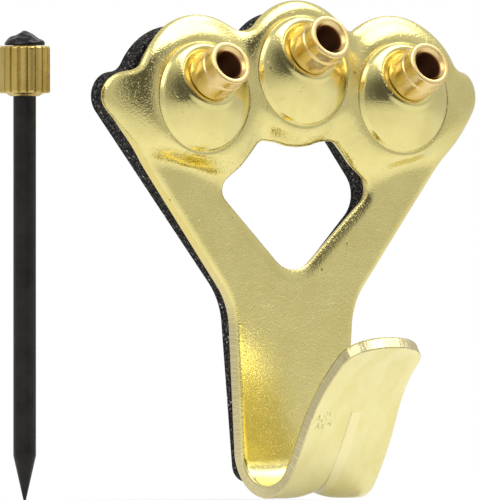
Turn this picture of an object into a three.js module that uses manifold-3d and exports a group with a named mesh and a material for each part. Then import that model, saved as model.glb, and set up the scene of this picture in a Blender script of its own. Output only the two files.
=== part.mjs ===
// Picture hanger: a pressed sheet plate with a hook, three turned nail guides,
// a foam wall pad, and one hardened nail with a knurled collar.
// Lengths are millimetres. X runs to the viewer's right, Y into the wall, Z up.
// The origin is on the wall face of the pad, behind the middle of the neck.
// A depth is a distance from the wall toward the viewer, so Y is minus the depth.

import * as THREE from "three";
import { mergeVertices } from "three/addons/utils/BufferGeometryUtils.js";
import Module from "manifold-3d";

const wasm = await Module();
wasm.setup();

const degree = Math.PI / 180;
const fullTurn = 2 * Math.PI;

// Sheet, pad and the distance of each from the wall
const sheetThickness = 1.2;
const padThickness = 1.9;
const padClearance = 0.1;
const plateBackDepth = padThickness + padClearance;
const plateFaceDepth = plateBackDepth + sheetThickness;

// Domes that carry the nail guides, and the mound each one stands on
const domeRadius = 4.6;
const domeSpacing = 10.3;
const middleDomeHeight = 21.65;
const sideDomeDrop = 2.2;
const moundRise = 1.6;
const moundReachUpright = 1.5;
const moundReachBelowInner = 2.7;
const moundReachBelowOuter = 1.8;
const moundReachSideways = 2.2;
const moundLean = 2.9 * degree;
const domeFootRise = 0.3;
const domeFootWidth = 0.45;
const domeCrown = 1.1;
const domeRimWidth = 0.45;
const creaseSoftness = 0.35;

// Nail guides: turned brass tubes that point up and forward
const guideTilt = 24 * degree;
const guideLength = 3.2;
const guideBodyRadius = 2.05;
const guideMouthRadius = 1.93;
const guideMouthBand = 1.1;
const guideEdge = 0.1;
const guideBoreRadius = 1.15;
const guideChamferRadius = 1.5;
const guideChamferDepth = 0.4;
const guideSpigotRadius = 1.6;
const guideFlareRadius = 2.0;
const guideFlareThickness = 0.5;
const guideSeatClearance = 0.15;
const guideHoleClearance = 0.2;
const guideFlareClearance = 0.25;
const seatRise = 1.5;
const seatProud = 0.5;
const seatRadius = 2.45;
const seatBlend = 0.6;
const guideHoleRadius = guideSpigotRadius + guideHoleClearance;

// Neck, arms and ears of the plate
const neckHalfWidth = 6.15;
const neckFootHalfWidth = 5.45;
const armAngle = 37.6 * degree;
const armFillet = 6;
const earRadius = 2.1;
const earReach = 6.52;
const earHeight = 19.5;
const sideLobeRadius = 6.55;
const sideLobeInset = 0.3;
const sideLobeLift = 0.25;
const middleLobeRadius = 6.0;
const middleLobeDrop = 0.15;
const lobeFillet = 1.5;
const earFillet = 1.4;

// Open diamond between the arms
const holeBottom = 3.9;
const holeHalfWidth = 8.4;
const holeCornerHeight = 11.85;
const holeWaistHalfWidth = 5.7;
const holeWaistHeight = 13.8;
const holeTopHalfWidth = 3.8;
const holeTopHeight = 16.0;
const holeTopRadius = 6.4;
const holeBottomFillet = 2.1;
const holeSideFillet = 1.2;
const holeWaistFillet = 2.5;
const holeTopFillet = 0.9;

// Foam pad: a little narrower than the plate, with its own lobes and hole
const padNeckHalfWidth = 5.3;
const padFootHalfWidth = 4.1;
const padFootHeight = -12.6;
const padFootFillet = 1.5;
const padArmAngle = 39.3 * degree;
const padEarInset = 0.08;
const padSideLobeRadius = 5.9;
const padSideLobeOffset = 0.2;
const padMiddleLobeRadius = 5.0;
const padHoleBottom = 1.85;
const padHoleHalfWidth = 8.9;
const padHoleCornerHeight = 11.15;
const padHoleTopHalfWidth = 4.75;
const padHoleTopDrop = 5.05;
const padHoleBottomFillet = 4.0;
const padHoleSideFillet = 2.5;
const padHoleTopFillet = 1.5;
const padNailHoleRadius = 2.0;
const padNailHoleDrop = 0.35;

// Hook: the sheet turns under in a U, climbs, and flares out to a rounded lip
const hookCentreHeight = -10.3;
const hookBendRadius = 3.0;
const hookBendTurn = 144 * degree;
const hookRiseLength = 3.5;
const hookRiseTurn = 10 * degree;
const hookStraightLength = 2.4;
const hookFlareRadius = 8.8;
const hookFlareTurn = -22.5 * degree;
const hookLipLength = 2.8;
const hookTipRadius = 6.1;
const hookTipTurn = -19.8 * degree;
const hookBottomHalfWidth = 4.8;
const hookRiseHalfWidth = 4.5;
const hookLipHalfWidth = 3.85;
const lipCorner = 2.4;
const grooveDepth = 0.5;
const grooveHalfWidth = 1.3;
const grooveRunDepth = 0.15;
const grooveRunHalfWidth = 0.6;
const grooveFade = 2.5;
const grooveRunLength = 7.5;

// Nail, standing beside the plate with its point level with the hook
const nailSide = -27.22;
const nailDepth = 2.4;
const nailTipHeight = -13.96;
const shankRadius = 0.94;
const shankLength = 33.35;
const taperLength = 3.75;
const pointRadius = 0.12;
const collarRadius = 2.1;
const collarLength = 4.15;
const collarConeHeight = 0.33;
const collarConeRadius = 1.25;
const collarChamfer = 0.15;
const collarBoreClearance = 0.12;
const collarSeatClearance = 0.05;
const fluteDepth = 0.16;
const nailHeadRadius = 1.68;
const nailHeadEdge = 0.1;
const nailHeadHeight = 1.2;

// Counts of facets and of flutes
const lobeSteps = 12;
const filletSteps = 5;
const domeSteps = 28;
const turnSteps = 24;
const fluteCount = 18;
const hookColumns = 10;
const edgeCrowding = 0.45;
const edgeStep = 1.6;
const flipMargin = 1e-6 * degree;
const bendShare = 1e-5;

const domes = [
  { name: "nail_guide_left", x: -domeSpacing, z: middleDomeHeight - sideDomeDrop },
  { name: "nail_guide_centre", x: 0, z: middleDomeHeight },
  { name: "nail_guide_right", x: domeSpacing, z: middleDomeHeight - sideDomeDrop },
];

// Depth of the plate's face at a place (x, z)

const softStep = (value) => {
  const t = Math.min(Math.max(value, 0), 1);
  return t * t * (3 - 2 * t);
};

// The lower of two values, with the corner between them rounded
const softLower = (a, b, softness) =>
  -softness * Math.log(Math.exp(-a / softness) + Math.exp(-b / softness));

const softUpper = (a, b, softness) => -softLower(-a, -b, softness);

// Share of the mound's rise that one dome gives at a place: all of it inside the
// crease, fading outside. The side domes reach down farthest on their inner side
function moundShare(dome, x, z) {
  const across = x - dome.x;
  const up = z - dome.z;
  const distance = Math.hypot(across, up);
  if (distance <= domeRadius) return 1;
  const sideways = (across / distance) ** 2;
  const inward = (-across * Math.sign(dome.x)) / distance;
  const below =
    moundReachBelowOuter + (moundReachBelowInner - moundReachBelowOuter) * softStep(inward + 1 / 2);
  const upright = dome.x && up < 0 ? below : moundReachUpright;
  const reach = upright + (moundReachSideways - upright) * sideways;
  return Math.exp(-(((distance - domeRadius) / reach) ** 2));
}

function moundDepth(x, z) {
  let flatShare = 1;
  let lean = 0;
  for (const dome of domes) {
    const share = moundShare(dome, x, z);
    flatShare *= 1 - share;
    lean += share * (z - dome.z) * Math.tan(moundLean);
  }
  return plateFaceDepth + moundRise * (1 - flatShare) - lean;
}

// Depth of the flat seat of a guide, a plane square to the guide's axis
const seatPlaneDepth = (dome, z) =>
  plateFaceDepth + moundRise + seatProud - (z - dome.z - seatRise) * Math.tan(guideTilt);

const seatDistance = (dome, x, z) =>
  Math.hypot(x - dome.x, (z - dome.z - seatRise) / Math.cos(guideTilt));

function domeDepth(dome, x, z) {
  const distance = Math.hypot(x - dome.x, z - dome.z);
  const ground = moundDepth(x, z);
  const foot = domeFootRise * softStep((domeRadius - distance) / domeFootWidth);
  const crown = foot + domeCrown * (1 - (distance / domeRadius) ** 2);
  const seat = seatPlaneDepth(dome, z) - ground;
  const bump = softUpper(softLower(crown, seat, creaseSoftness), foot / 2, domeFootRise / 3);
  const onSeat = 1 - softStep((seatDistance(dome, x, z) - seatRadius) / seatBlend);
  return ground + bump + onSeat * (seat - bump);
}

function faceDepth(x, z) {
  for (const dome of domes) {
    if (Math.hypot(x - dome.x, z - dome.z) < domeRadius) return domeDepth(dome, x, z);
  }
  return moundDepth(x, z);
}

// Outlines, as lists of [x, z]

function arc(centreX, centreZ, radius, from, to, steps) {
  const points = [];
  for (let i = 0; i <= steps; i++) {
    const angle = from + ((to - from) * i) / steps;
    points.push([centreX + radius * Math.cos(angle), centreZ + radius * Math.sin(angle)]);
  }
  return points;
}

// Corners { x, z, fillet } in order, with each corner turned into an arc
function filletedPath(corners, closed) {
  const points = [];
  const count = corners.length;
  corners.forEach((corner, i) => {
    const open = !closed && (i === 0 || i === count - 1);
    if (open || !corner.fillet) {
      points.push([corner.x, corner.z]);
      return;
    }
    const here = new THREE.Vector2(corner.x, corner.z);
    const before = corners[(i + count - 1) % count];
    const after = corners[(i + 1) % count];
    const back = new THREE.Vector2(before.x, before.z).sub(here).normalize();
    const ahead = new THREE.Vector2(after.x, after.z).sub(here).normalize();
    const half = Math.acos(back.dot(ahead)) / 2;
    const middle = back.clone().add(ahead).normalize();
    const centre = here.clone().addScaledVector(middle, corner.fillet / Math.sin(half));
    const start = here.clone().addScaledVector(back, corner.fillet / Math.tan(half)).sub(centre);
    const end = here.clone().addScaledVector(ahead, corner.fillet / Math.tan(half)).sub(centre);
    const from = start.angle();
    let turn = end.angle() - from;
    if (turn > Math.PI) turn -= fullTurn;
    if (turn < -Math.PI) turn += fullTurn;
    points.push(...arc(centre.x, centre.y, corner.fillet, from, from + turn, filletSteps));
  });
  return points;
}

// Centre of the arc that touches two circles from outside, on its upper side
function touchingCentre(a, b, radius) {
  const reachA = a.radius + radius;
  const reachB = b.radius + radius;
  const dx = b.x - a.x;
  const dz = b.z - a.z;
  const span = Math.hypot(dx, dz);
  const along = (reachA ** 2 - reachB ** 2 + span ** 2) / (2 * span);
  const off = Math.sqrt(reachA ** 2 - along ** 2);
  return { x: a.x + (dx * along - dz * off) / span, z: a.z + (dz * along + dx * off) / span };
}

const angleTo = (from, to) => Math.atan2(to.z - from.z, to.x - from.x);

// Right half of an outline: neck, arm, ear, side lobe and half of the middle lobe,
// from the foot of the neck up to the top middle point
function halfOutline(size) {
  const { ear, sideLobe, middleLobe } = size;
  const armNormal = -size.armAngle;
  const armTop = {
    x: ear.x + ear.radius * Math.cos(armNormal),
    z: ear.z + ear.radius * Math.sin(armNormal),
  };
  const armFoot = {
    x: size.neckHalfWidth,
    z: armTop.z - (armTop.x - size.neckHalfWidth) / Math.tan(size.armAngle),
  };
  const side = filletedPath(
    [
      { x: size.footHalfWidth, z: size.footHeight },
      { ...armFoot, fillet: size.armFillet },
      armTop,
    ],
    false,
  );
  const notch = touchingCentre(sideLobe, ear, size.earFillet);
  const valley = touchingCentre(middleLobe, sideLobe, size.lobeFillet);
  const earEnd = angleTo(ear, notch);
  const lobeStart = angleTo(sideLobe, notch);
  const lobeEnd = angleTo(sideLobe, valley);
  const topStart = angleTo(middleLobe, valley);
  return [
    ...side,
    ...arc(ear.x, ear.z, ear.radius, armNormal, earEnd, filletSteps).slice(1),
    ...arc(notch.x, notch.z, size.earFillet, earEnd + Math.PI, lobeStart + Math.PI, 2).slice(1),
    ...arc(sideLobe.x, sideLobe.z, sideLobe.radius, lobeStart, lobeEnd, lobeSteps).slice(1),
    ...arc(valley.x, valley.z, size.lobeFillet, lobeEnd - Math.PI, topStart - Math.PI, 3).slice(1),
    ...arc(middleLobe.x, middleLobe.z, middleLobe.radius, topStart, Math.PI / 2, lobeSteps / 2).slice(1),
  ];
}

const mirrored = (points) => points.map(([x, z]) => [-x, z]).reverse();

const ears = { x: domeSpacing + earReach, z: earHeight, radius: earRadius };
const sideDome = domes[2];

const plateSizes = {
  neckHalfWidth,
  footHalfWidth: neckFootHalfWidth,
  footHeight: hookCentreHeight,
  armAngle,
  armFillet,
  earFillet,
  lobeFillet,
  ear: ears,
  sideLobe: {
    x: sideDome.x - sideLobeInset,
    z: sideDome.z + sideLobeLift,
    radius: sideLobeRadius,
  },
  middleLobe: { x: 0, z: middleDomeHeight - middleLobeDrop, radius: middleLobeRadius },
};

const padSizes = {
  ...plateSizes,
  neckHalfWidth: padNeckHalfWidth,
  footHalfWidth: padFootHalfWidth,
  footHeight: padFootHeight,
  armAngle: padArmAngle,
  ear: { ...ears, x: ears.x - padEarInset, radius: earRadius - padEarInset },
  sideLobe: { x: sideDome.x + padSideLobeOffset, z: sideDome.z, radius: padSideLobeRadius },
  middleLobe: { ...plateSizes.middleLobe, radius: padMiddleLobeRadius },
};

// The diamond's top edge follows the middle dome
function plateHoleOutline() {
  const topShares = [0.6, 0.3, 0, -0.3, -0.6];
  const top = topShares.map((share) => {
    const x = share * holeTopHalfWidth;
    return { x, z: middleDomeHeight - Math.sqrt(holeTopRadius ** 2 - x ** 2) };
  });
  return filletedPath(
    [
      { x: 0, z: holeBottom, fillet: holeBottomFillet },
      { x: holeHalfWidth, z: holeCornerHeight, fillet: holeSideFillet },
      { x: holeWaistHalfWidth, z: holeWaistHeight, fillet: holeWaistFillet },
      { x: holeTopHalfWidth, z: holeTopHeight, fillet: holeTopFillet },
      ...top,
      { x: -holeTopHalfWidth, z: holeTopHeight, fillet: holeTopFillet },
      { x: -holeWaistHalfWidth, z: holeWaistHeight, fillet: holeWaistFillet },
      { x: -holeHalfWidth, z: holeCornerHeight, fillet: holeSideFillet },
    ],
    true,
  );
}

function padHoleOutline() {
  const top = middleDomeHeight - padHoleTopDrop;
  return filletedPath(
    [
      { x: 0, z: padHoleBottom, fillet: padHoleBottomFillet },
      { x: padHoleHalfWidth, z: padHoleCornerHeight, fillet: padHoleSideFillet },
      { x: padHoleTopHalfWidth, z: top, fillet: padHoleTopFillet },
      { x: -padHoleTopHalfWidth, z: top, fillet: padHoleTopFillet },
      { x: -padHoleHalfWidth, z: padHoleCornerHeight, fillet: padHoleSideFillet },
    ],
    true,
  );
}

// Adds points so that no side of the path is longer than the step
function divided(points, step, closed) {
  const result = [];
  points.forEach(([x, z], i) => {
    result.push([x, z]);
    if (!closed && i === points.length - 1) return;
    const [nextX, nextZ] = points[(i + 1) % points.length];
    const parts = Math.ceil(Math.hypot(nextX - x, nextZ - z) / step);
    for (let part = 1; part < parts; part++) {
      const share = part / parts;
      result.push([x + (nextX - x) * share, z + (nextZ - z) * share]);
    }
  });
  return result;
}

// Flat triangulation of the plate between its outline, its hole and its domes

function insidePolygon([x, z], polygon) {
  let inside = false;
  polygon.forEach(([ax, az], i) => {
    const [bx, bz] = polygon[(i + 1) % polygon.length];
    if (az > z !== bz > z && x < ax + ((z - az) * (bx - ax)) / (bz - az)) inside = !inside;
  });
  return inside;
}

const nearestDistance = ([x, z], points) =>
  Math.min(...points.map(([px, pz]) => Math.hypot(px - x, pz - z)));

function insidePoints(outline, holes, step) {
  const found = [];
  const loops = [outline, ...holes].flat();
  const rows = Math.ceil((middleDomeHeight + middleLobeRadius - hookCentreHeight) / step);
  const columns = Math.ceil((ears.x + earRadius) / step);
  for (let row = 1; row < rows; row++) {
    for (let column = -columns; column <= columns; column++) {
      const shift = row % 2 ? 0 : step / 2;
      const point = [column * step + shift, hookCentreHeight + row * step];
      const free = insidePolygon(point, outline) && !holes.some((h) => insidePolygon(point, h));
      if (free && nearestDistance(point, loops) > step / 2) found.push(point);
    }
  }
  return found;
}

// Turns the shared side of two triangles where that gives better corners
function improveTriangles(points, triangles) {
  const cross = (a, b, c) =>
    (points[b][0] - points[a][0]) * (points[c][1] - points[a][1]) -
    (points[b][1] - points[a][1]) * (points[c][0] - points[a][0]);
  const dot = (a, b, c) =>
    (points[b][0] - points[a][0]) * (points[c][0] - points[a][0]) +
    (points[b][1] - points[a][1]) * (points[c][1] - points[a][1]);
  const cornerAngle = (a, b, c) => Math.atan2(Math.abs(cross(a, b, c)), dot(a, b, c));
  let turned = true;
  for (let round = 0; turned && round < triangles.length; round++) {
    turned = false;
    const sides = new Map();
    triangles.forEach((triangle, index) => {
      triangle.forEach((from, corner) => sides.set(`${from},${triangle[(corner + 1) % 3]}`, index));
    });
    const used = new Set();
    for (const [key, first] of sides) {
      const [a, b] = key.split(",").map(Number);
      const second = sides.get(`${b},${a}`);
      if (second === undefined || a > b || used.has(first) || used.has(second)) continue;
      const c = triangles[first].find((v) => v !== a && v !== b);
      const d = triangles[second].find((v) => v !== a && v !== b);
      const convex = cross(c, a, d) > 0 && cross(d, b, c) > 0;
      const opposite = cornerAngle(c, a, b) + cornerAngle(d, a, b);
      if (!convex || opposite < Math.PI + flipMargin) continue;
      triangles[first] = [c, a, d];
      triangles[second] = [d, b, c];
      used.add(first).add(second);
      turned = true;
    }
  }
  return triangles;
}

// The triangulation leaves out points that stand exactly in line, so it is given the
// places with every straight side bent by a trace
function triangulated(loops) {
  const bent = ([x, z]) => new THREE.Vector2(x, z + (bendShare * x * x) / edgeStep);
  const [outline, ...holes] = loops.map((loop) => loop.map(bent));
  return improveTriangles(loops.flat(), THREE.ShapeUtils.triangulateShape(outline, holes));
}

// Rings round a dome, from its rim inward to the hole of the guide
function domeRings(dome) {
  const ring = (centreZ, radius, squash) =>
    arc(dome.x, centreZ, radius, 0, fullTurn, domeSteps)
      .slice(0, domeSteps)
      .map(([x, z]) => [x, centreZ + (z - centreZ) * squash]);
  const seatHeight = dome.z + seatRise;
  const footRadius = domeRadius - domeFootWidth;
  const seatSquash = Math.cos(guideTilt);
  const rings = [
    ring(dome.z, domeRadius + domeRimWidth, 1),
    ring(dome.z, domeRadius, 1),
    ring(dome.z, footRadius, 1),
  ];
  for (const share of [1 / 3, 2 / 3, 1]) {
    rings.push(
      ring(
        dome.z + seatRise * share,
        footRadius + (seatRadius - footRadius) * share,
        1 + (seatSquash - 1) * share,
      ),
    );
  }
  rings.push(ring(seatHeight, guideHoleRadius, seatSquash));
  return rings;
}

// Mesh building: triangles of [x, y, z] corners, all seen anticlockwise from outside

const place = (x, depth, z) => [x, -depth, z];

function addQuad(corners, a, b, c, d) {
  corners.push(a, b, c, a, c, d);
}

function geometryFrom(corners) {
  const geometry = new THREE.BufferGeometry();
  geometry.setAttribute("position", new THREE.Float32BufferAttribute(corners.flat(), 3));
  return mergeVertices(geometry, sheetThickness / 1e4);
}

const frontPoint = ([x, z]) => place(x, faceDepth(x, z), z);
const backPoint = ([x, z]) => place(x, faceDepth(x, z) - sheetThickness, z);

function addWall(corners, front, back, closed) {
  const last = closed ? front.length : front.length - 1;
  for (let i = 0; i < last; i++) {
    const next = (i + 1) % front.length;
    addQuad(corners, front[i], back[i], back[next], front[next]);
  }
}

function addPressedPlate(corners) {
  const right = divided(halfOutline(plateSizes), edgeStep, false);
  const sides = [...right, ...mirrored(right).slice(1)];
  const foot = hookRow(0).map(([x]) => [x, hookCentreHeight]).slice(1, -1);
  const outline = [...sides, ...foot];
  const hole = divided(plateHoleOutline(), edgeStep / 2, true);
  const rims = domes.map((dome) => domeRings(dome)[0]);
  const extra = insidePoints(outline, [hole, ...rims], edgeStep);
  const loops = [outline, hole, ...rims, ...extra.map((point) => [point])];
  const points = loops.flat();
  for (const [a, b, c] of triangulated(loops)) {
    corners.push(frontPoint(points[a]), frontPoint(points[b]), frontPoint(points[c]));
    corners.push(backPoint(points[a]), backPoint(points[c]), backPoint(points[b]));
  }
  addWall(corners, sides.map(frontPoint), sides.map(backPoint), false);
  const holeBack = [...hole].reverse();
  addWall(corners, holeBack.map(frontPoint), holeBack.map(backPoint), true);
  domes.forEach((dome) => addDome(corners, dome));
}

function addDome(corners, dome) {
  const rings = domeRings(dome);
  const front = rings.map((ring) => ring.map(frontPoint));
  const back = rings.map((ring) => ring.map(backPoint));
  // The guide's hole runs along its axis, so its far edge sits lower than its near edge
  const drill = sheetThickness * Math.cos(guideTilt);
  back[back.length - 1] = front[front.length - 1].map(([x, y, z]) => [
    x,
    y + drill * Math.cos(guideTilt),
    z - drill * Math.sin(guideTilt),
  ]);
  for (let level = 0; level + 1 < rings.length; level++) {
    for (let i = 0; i < domeSteps; i++) {
      const next = (i + 1) % domeSteps;
      addQuad(corners, front[level][i], front[level][next], front[level + 1][next], front[level + 1][i]);
      addQuad(corners, back[level][i], back[level + 1][i], back[level + 1][next], back[level][next]);
    }
  }
  const last = rings.length - 1;
  addWall(corners, [...front[last]].reverse(), [...back[last]].reverse(), true);
}

// The hook's path: a chain of bends, each { length, turn }, walked in short steps
function hookPath() {
  const bends = [
    { length: hookBendRadius * hookBendTurn, turn: hookBendTurn, steps: 16 },
    { length: hookRiseLength, turn: hookRiseTurn, steps: 2 },
    { length: hookStraightLength, turn: 0, steps: 1 },
    { length: -hookFlareRadius * hookFlareTurn, turn: hookFlareTurn, steps: 4 },
    { length: hookLipLength, turn: 0, steps: 1 },
    { length: -hookTipRadius * hookTipTurn, turn: hookTipTurn, steps: 8 },
  ];
  const stations = [];
  let depth = plateBackDepth + sheetThickness / 2;
  let height = hookCentreHeight;
  let heading = -Math.PI / 2;
  let run = 0;
  const total = bends.reduce((sum, bend) => sum + bend.length, 0);
  stations.push({ depth, height, heading, run, left: total });
  for (const bend of bends) {
    for (let i = 0; i < bend.steps; i++) {
      const length = bend.length / bend.steps;
      const turn = bend.turn / bend.steps;
      const chord = turn ? (length * Math.sin(turn / 2)) / (turn / 2) : length;
      depth += chord * Math.cos(heading + turn / 2);
      height += chord * Math.sin(heading + turn / 2);
      heading += turn;
      run += length;
      stations.push({ depth, height, heading, run, left: Math.max(total - run, 0) });
    }
  }
  return stations;
}

const hookStations = hookPath();

// Half width of the strip: it narrows round the bend, then to the lip's round end
function hookHalfWidth({ run, left }) {
  const bendLength = hookBendRadius * hookBendTurn;
  const bottomRun = (bendLength * Math.PI) / 2 / hookBendTurn;
  const flareRun = bendLength + hookRiseLength + hookStraightLength;
  const flareEnd = flareRun - hookFlareRadius * hookFlareTurn;
  let width;
  if (run < bottomRun) {
    width = neckFootHalfWidth + ((hookBottomHalfWidth - neckFootHalfWidth) * run) / bottomRun;
  } else if (run < bendLength) {
    const share = (run - bottomRun) / (bendLength - bottomRun);
    width = hookBottomHalfWidth + (hookRiseHalfWidth - hookBottomHalfWidth) * share;
  } else {
    const share = softStep((run - flareRun) / (flareEnd - flareRun));
    width = hookRiseHalfWidth + (hookLipHalfWidth - hookRiseHalfWidth) * share;
  }
  const corner = Math.max(lipCorner - left, 0);
  return width - lipCorner + Math.sqrt(lipCorner ** 2 - corner ** 2);
}

// The pressed groove: deep and wide under the bend, a fine line up the front
function grooveDepthAt(x, { run }) {
  const bottomRun = (hookBendRadius * Math.PI) / 2;
  const under = Math.exp(-(((run - bottomRun) / grooveFade) ** 2));
  const lineEnd = bottomRun + grooveFade + grooveRunLength;
  const line = softStep((run - bottomRun) / grooveFade) * softStep((lineEnd - run) / grooveRunHalfWidth);
  return (
    grooveDepth * under * Math.exp(-((x / grooveHalfWidth) ** 2)) +
    grooveRunDepth * line * Math.exp(-((x / grooveRunHalfWidth) ** 2))
  );
}

// Points across one station: [x, outer face, inner face]
function hookRow(index) {
  const station = hookStations[index];
  const halfWidth = hookHalfWidth(station);
  const { depth, height, heading } = station;
  const normal = [-Math.sin(heading), Math.cos(heading)];
  const row = [];
  for (let column = 0; column <= hookColumns; column++) {
    const share = (2 * column) / hookColumns - 1;
    const x = halfWidth * share * (1 - edgeCrowding * (1 - share ** 2));
    const press = index ? grooveDepthAt(x, station) : 0;
    const outer = press - sheetThickness / 2;
    const inner = press + sheetThickness / 2;
    row.push([
      x,
      place(x, depth + normal[0] * outer, height + normal[1] * outer),
      place(x, depth + normal[0] * inner, height + normal[1] * inner),
    ]);
  }
  return row;
}

function addHook(corners) {
  const rows = hookStations.map((station, index) => hookRow(index));
  for (let i = 0; i + 1 < rows.length; i++) {
    for (let column = 0; column < hookColumns; column++) {
      const [, outerA, innerA] = rows[i][column];
      const [, outerB, innerB] = rows[i][column + 1];
      const [, outerC, innerC] = rows[i + 1][column + 1];
      const [, outerD, innerD] = rows[i + 1][column];
      addQuad(corners, outerA, outerB, outerC, outerD);
      addQuad(corners, innerA, innerD, innerC, innerB);
    }
    const [, leftOuter, leftInner] = rows[i][0];
    const [, leftOuterNext, leftInnerNext] = rows[i + 1][0];
    addQuad(corners, leftInner, leftOuter, leftOuterNext, leftInnerNext);
    const [, rightOuter, rightInner] = rows[i][hookColumns];
    const [, rightOuterNext, rightInnerNext] = rows[i + 1][hookColumns];
    addQuad(corners, rightOuter, rightInner, rightInnerNext, rightOuterNext);
  }
  const end = rows[rows.length - 1];
  addWall(
    corners,
    end.map(([, , inner]) => inner),
    end.map(([, outer]) => outer),
    false,
  );
}

function hangerPlate() {
  const corners = [];
  addPressedPlate(corners);
  addHook(corners);
  return geometryFrom(corners);
}

// Foam pad, cut flat from sheet, with one clearance hole behind each guide

function backingPad() {
  const toVectors = (points) => points.map(([x, z]) => new THREE.Vector2(x, z));
  const foot = filletedPath(
    [
      { x: padNeckHalfWidth, z: 0 },
      { x: padFootHalfWidth, z: padFootHeight, fillet: padFootFillet },
      { x: 0, z: padFootHeight },
    ],
    false,
  ).slice(1, -1);
  const right = [...foot.reverse(), ...halfOutline(padSizes).slice(1)];
  const shape = new THREE.Shape(toVectors([...right, ...mirrored(right).slice(1)]));
  shape.holes.push(new THREE.Path(toVectors(padHoleOutline())));
  for (const dome of domes) {
    const centre = dome.z - padNailHoleDrop;
    const ring = arc(dome.x, centre, padNailHoleRadius, 0, fullTurn, turnSteps).slice(1);
    shape.holes.push(new THREE.Path(toVectors(ring)));
  }
  const geometry = new THREE.ExtrudeGeometry(shape, { depth: padThickness, bevelEnabled: false });
  return geometry.rotateX(Math.PI / 2);
}

// A turned piece from its closed profile of [radius, height], standing along Z
function turned(profile) {
  const points = profile.map(([radius, height]) => new THREE.Vector2(radius, height));
  if (profile[0][0] > 0) points.push(points[0].clone());
  return new THREE.LatheGeometry(points, turnSteps).rotateX(Math.PI / 2);
}

// Nail guide, with height zero at the plane of its seat
function nailGuide() {
  const bandFoot = guideLength - guideMouthBand;
  const plateUnderside = -sheetThickness * Math.cos(guideTilt);
  const flareTop = plateUnderside - guideFlareClearance;
  const flareFoot = flareTop - guideFlareThickness;
  return turned([
    [guideBoreRadius, flareFoot],
    [guideFlareRadius - guideEdge, flareFoot],
    [guideFlareRadius, flareFoot + guideEdge],
    [guideFlareRadius, flareTop],
    [guideSpigotRadius, flareTop],
    [guideSpigotRadius, guideSeatClearance],
    [guideBodyRadius - guideEdge, guideSeatClearance],
    [guideBodyRadius, guideSeatClearance + guideEdge],
    [guideBodyRadius, bandFoot - guideEdge],
    [guideMouthRadius, bandFoot],
    [guideMouthRadius, guideLength - guideEdge],
    [guideMouthRadius - guideEdge, guideLength],
    [guideChamferRadius, guideLength],
    [guideBoreRadius, guideLength - guideChamferDepth],
  ]);
}

// Nail pin: shank with a tapered point and a domed head, its point at height zero
function nailPin() {
  const seat = shankLength + collarLength + 2 * collarSeatClearance;
  const domeShares = [
    [1, 0.07],
    [0.95, 0.25],
    [0.91, 0.42],
    [0.84, 0.51],
    [0.63, 0.63],
    [0.42, 0.74],
    [0.2, 0.88],
    [0.1, 0.98],
    [0, 1],
  ];
  return turned([
    [0, 0],
    [pointRadius, pointRadius],
    [shankRadius, taperLength],
    [shankRadius, seat],
    [nailHeadRadius - nailHeadEdge, seat],
    ...domeShares.map(([wide, high]) => [wide * nailHeadRadius, seat + high * nailHeadHeight]),
  ]);
}

// Manifold solid of a closed geometry whose corners are shared
function solidOf(geometry) {
  geometry.deleteAttribute("normal");
  geometry.deleteAttribute("uv");
  const merged = mergeVertices(geometry, sheetThickness / 1e4);
  return new wasm.Manifold(
    new wasm.Mesh({
      numProp: 3,
      vertProperties: merged.attributes.position.array,
      triVerts: new Uint32Array(merged.index.array),
    }),
  );
}

function geometryOf(solid) {
  const { vertProperties, triVerts } = solid.getMesh();
  const geometry = new THREE.BufferGeometry();
  geometry.setAttribute("position", new THREE.Float32BufferAttribute(vertProperties, 3));
  geometry.setIndex(new THREE.BufferAttribute(triVerts, 1));
  return geometry;
}

// Collar: a fluted bar with a bore for the shank, coned below and chamfered above
function nailCollar() {
  const rim = [];
  for (let i = 0; i < fluteCount; i++) {
    const pitch = fullTurn / fluteCount;
    const crestShares = [0.1, 0.4];
    const valleyShares = [0.6, 0.9];
    for (const share of crestShares) rim.push([collarRadius, (i + share) * pitch]);
    for (const share of valleyShares) rim.push([collarRadius - fluteDepth, (i + share) * pitch]);
  }
  const points = rim.map(([r, a]) => new THREE.Vector2(r * Math.cos(a), r * Math.sin(a)));
  const fluted = new THREE.ExtrudeGeometry(new THREE.Shape(points), {
    depth: collarLength,
    bevelEnabled: false,
  });
  const bore = shankRadius + collarBoreClearance;
  const envelope = turned([
    [bore, 0],
    [collarConeRadius, 0],
    [collarRadius - fluteDepth, collarConeHeight],
    [collarRadius + collarChamfer, collarConeHeight + collarChamfer],
    [collarRadius + collarChamfer, collarLength - 2 * collarChamfer],
    [collarRadius - collarChamfer, collarLength],
    [bore, collarLength],
  ]);
  return geometryOf(solidOf(fluted).intersect(solidOf(envelope)));
}

// Assembly

const plateBrass = () => new THREE.MeshStandardMaterial({ color: 0xc4b470, metalness: 1, roughness: 0.28 });
const guideBrass = () => new THREE.MeshStandardMaterial({ color: 0xd2a748, metalness: 1, roughness: 0.22 });
const collarBrass = () => new THREE.MeshStandardMaterial({ color: 0xb08c3a, metalness: 1, roughness: 0.35 });
const blackFoam = () => new THREE.MeshStandardMaterial({ color: 0x18181a, metalness: 0, roughness: 0.95 });
const blackSteel = () => new THREE.MeshStandardMaterial({ color: 0x26201d, metalness: 0.7, roughness: 0.45 });

function named(name, geometry, material) {
  const mesh = new THREE.Mesh(geometry, material);
  mesh.name = name;
  return mesh;
}

const hanger = new THREE.Group();
hanger.add(named("hanger_plate", hangerPlate(), plateBrass()));
hanger.add(named("backing_pad", backingPad(), blackFoam()));
for (const dome of domes) {
  const guide = named(dome.name, nailGuide(), guideBrass());
  const height = dome.z + seatRise;
  guide.position.set(dome.x, -seatPlaneDepth(dome, height), height);
  guide.rotation.x = Math.PI / 2 - guideTilt;
  hanger.add(guide);
}

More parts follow.
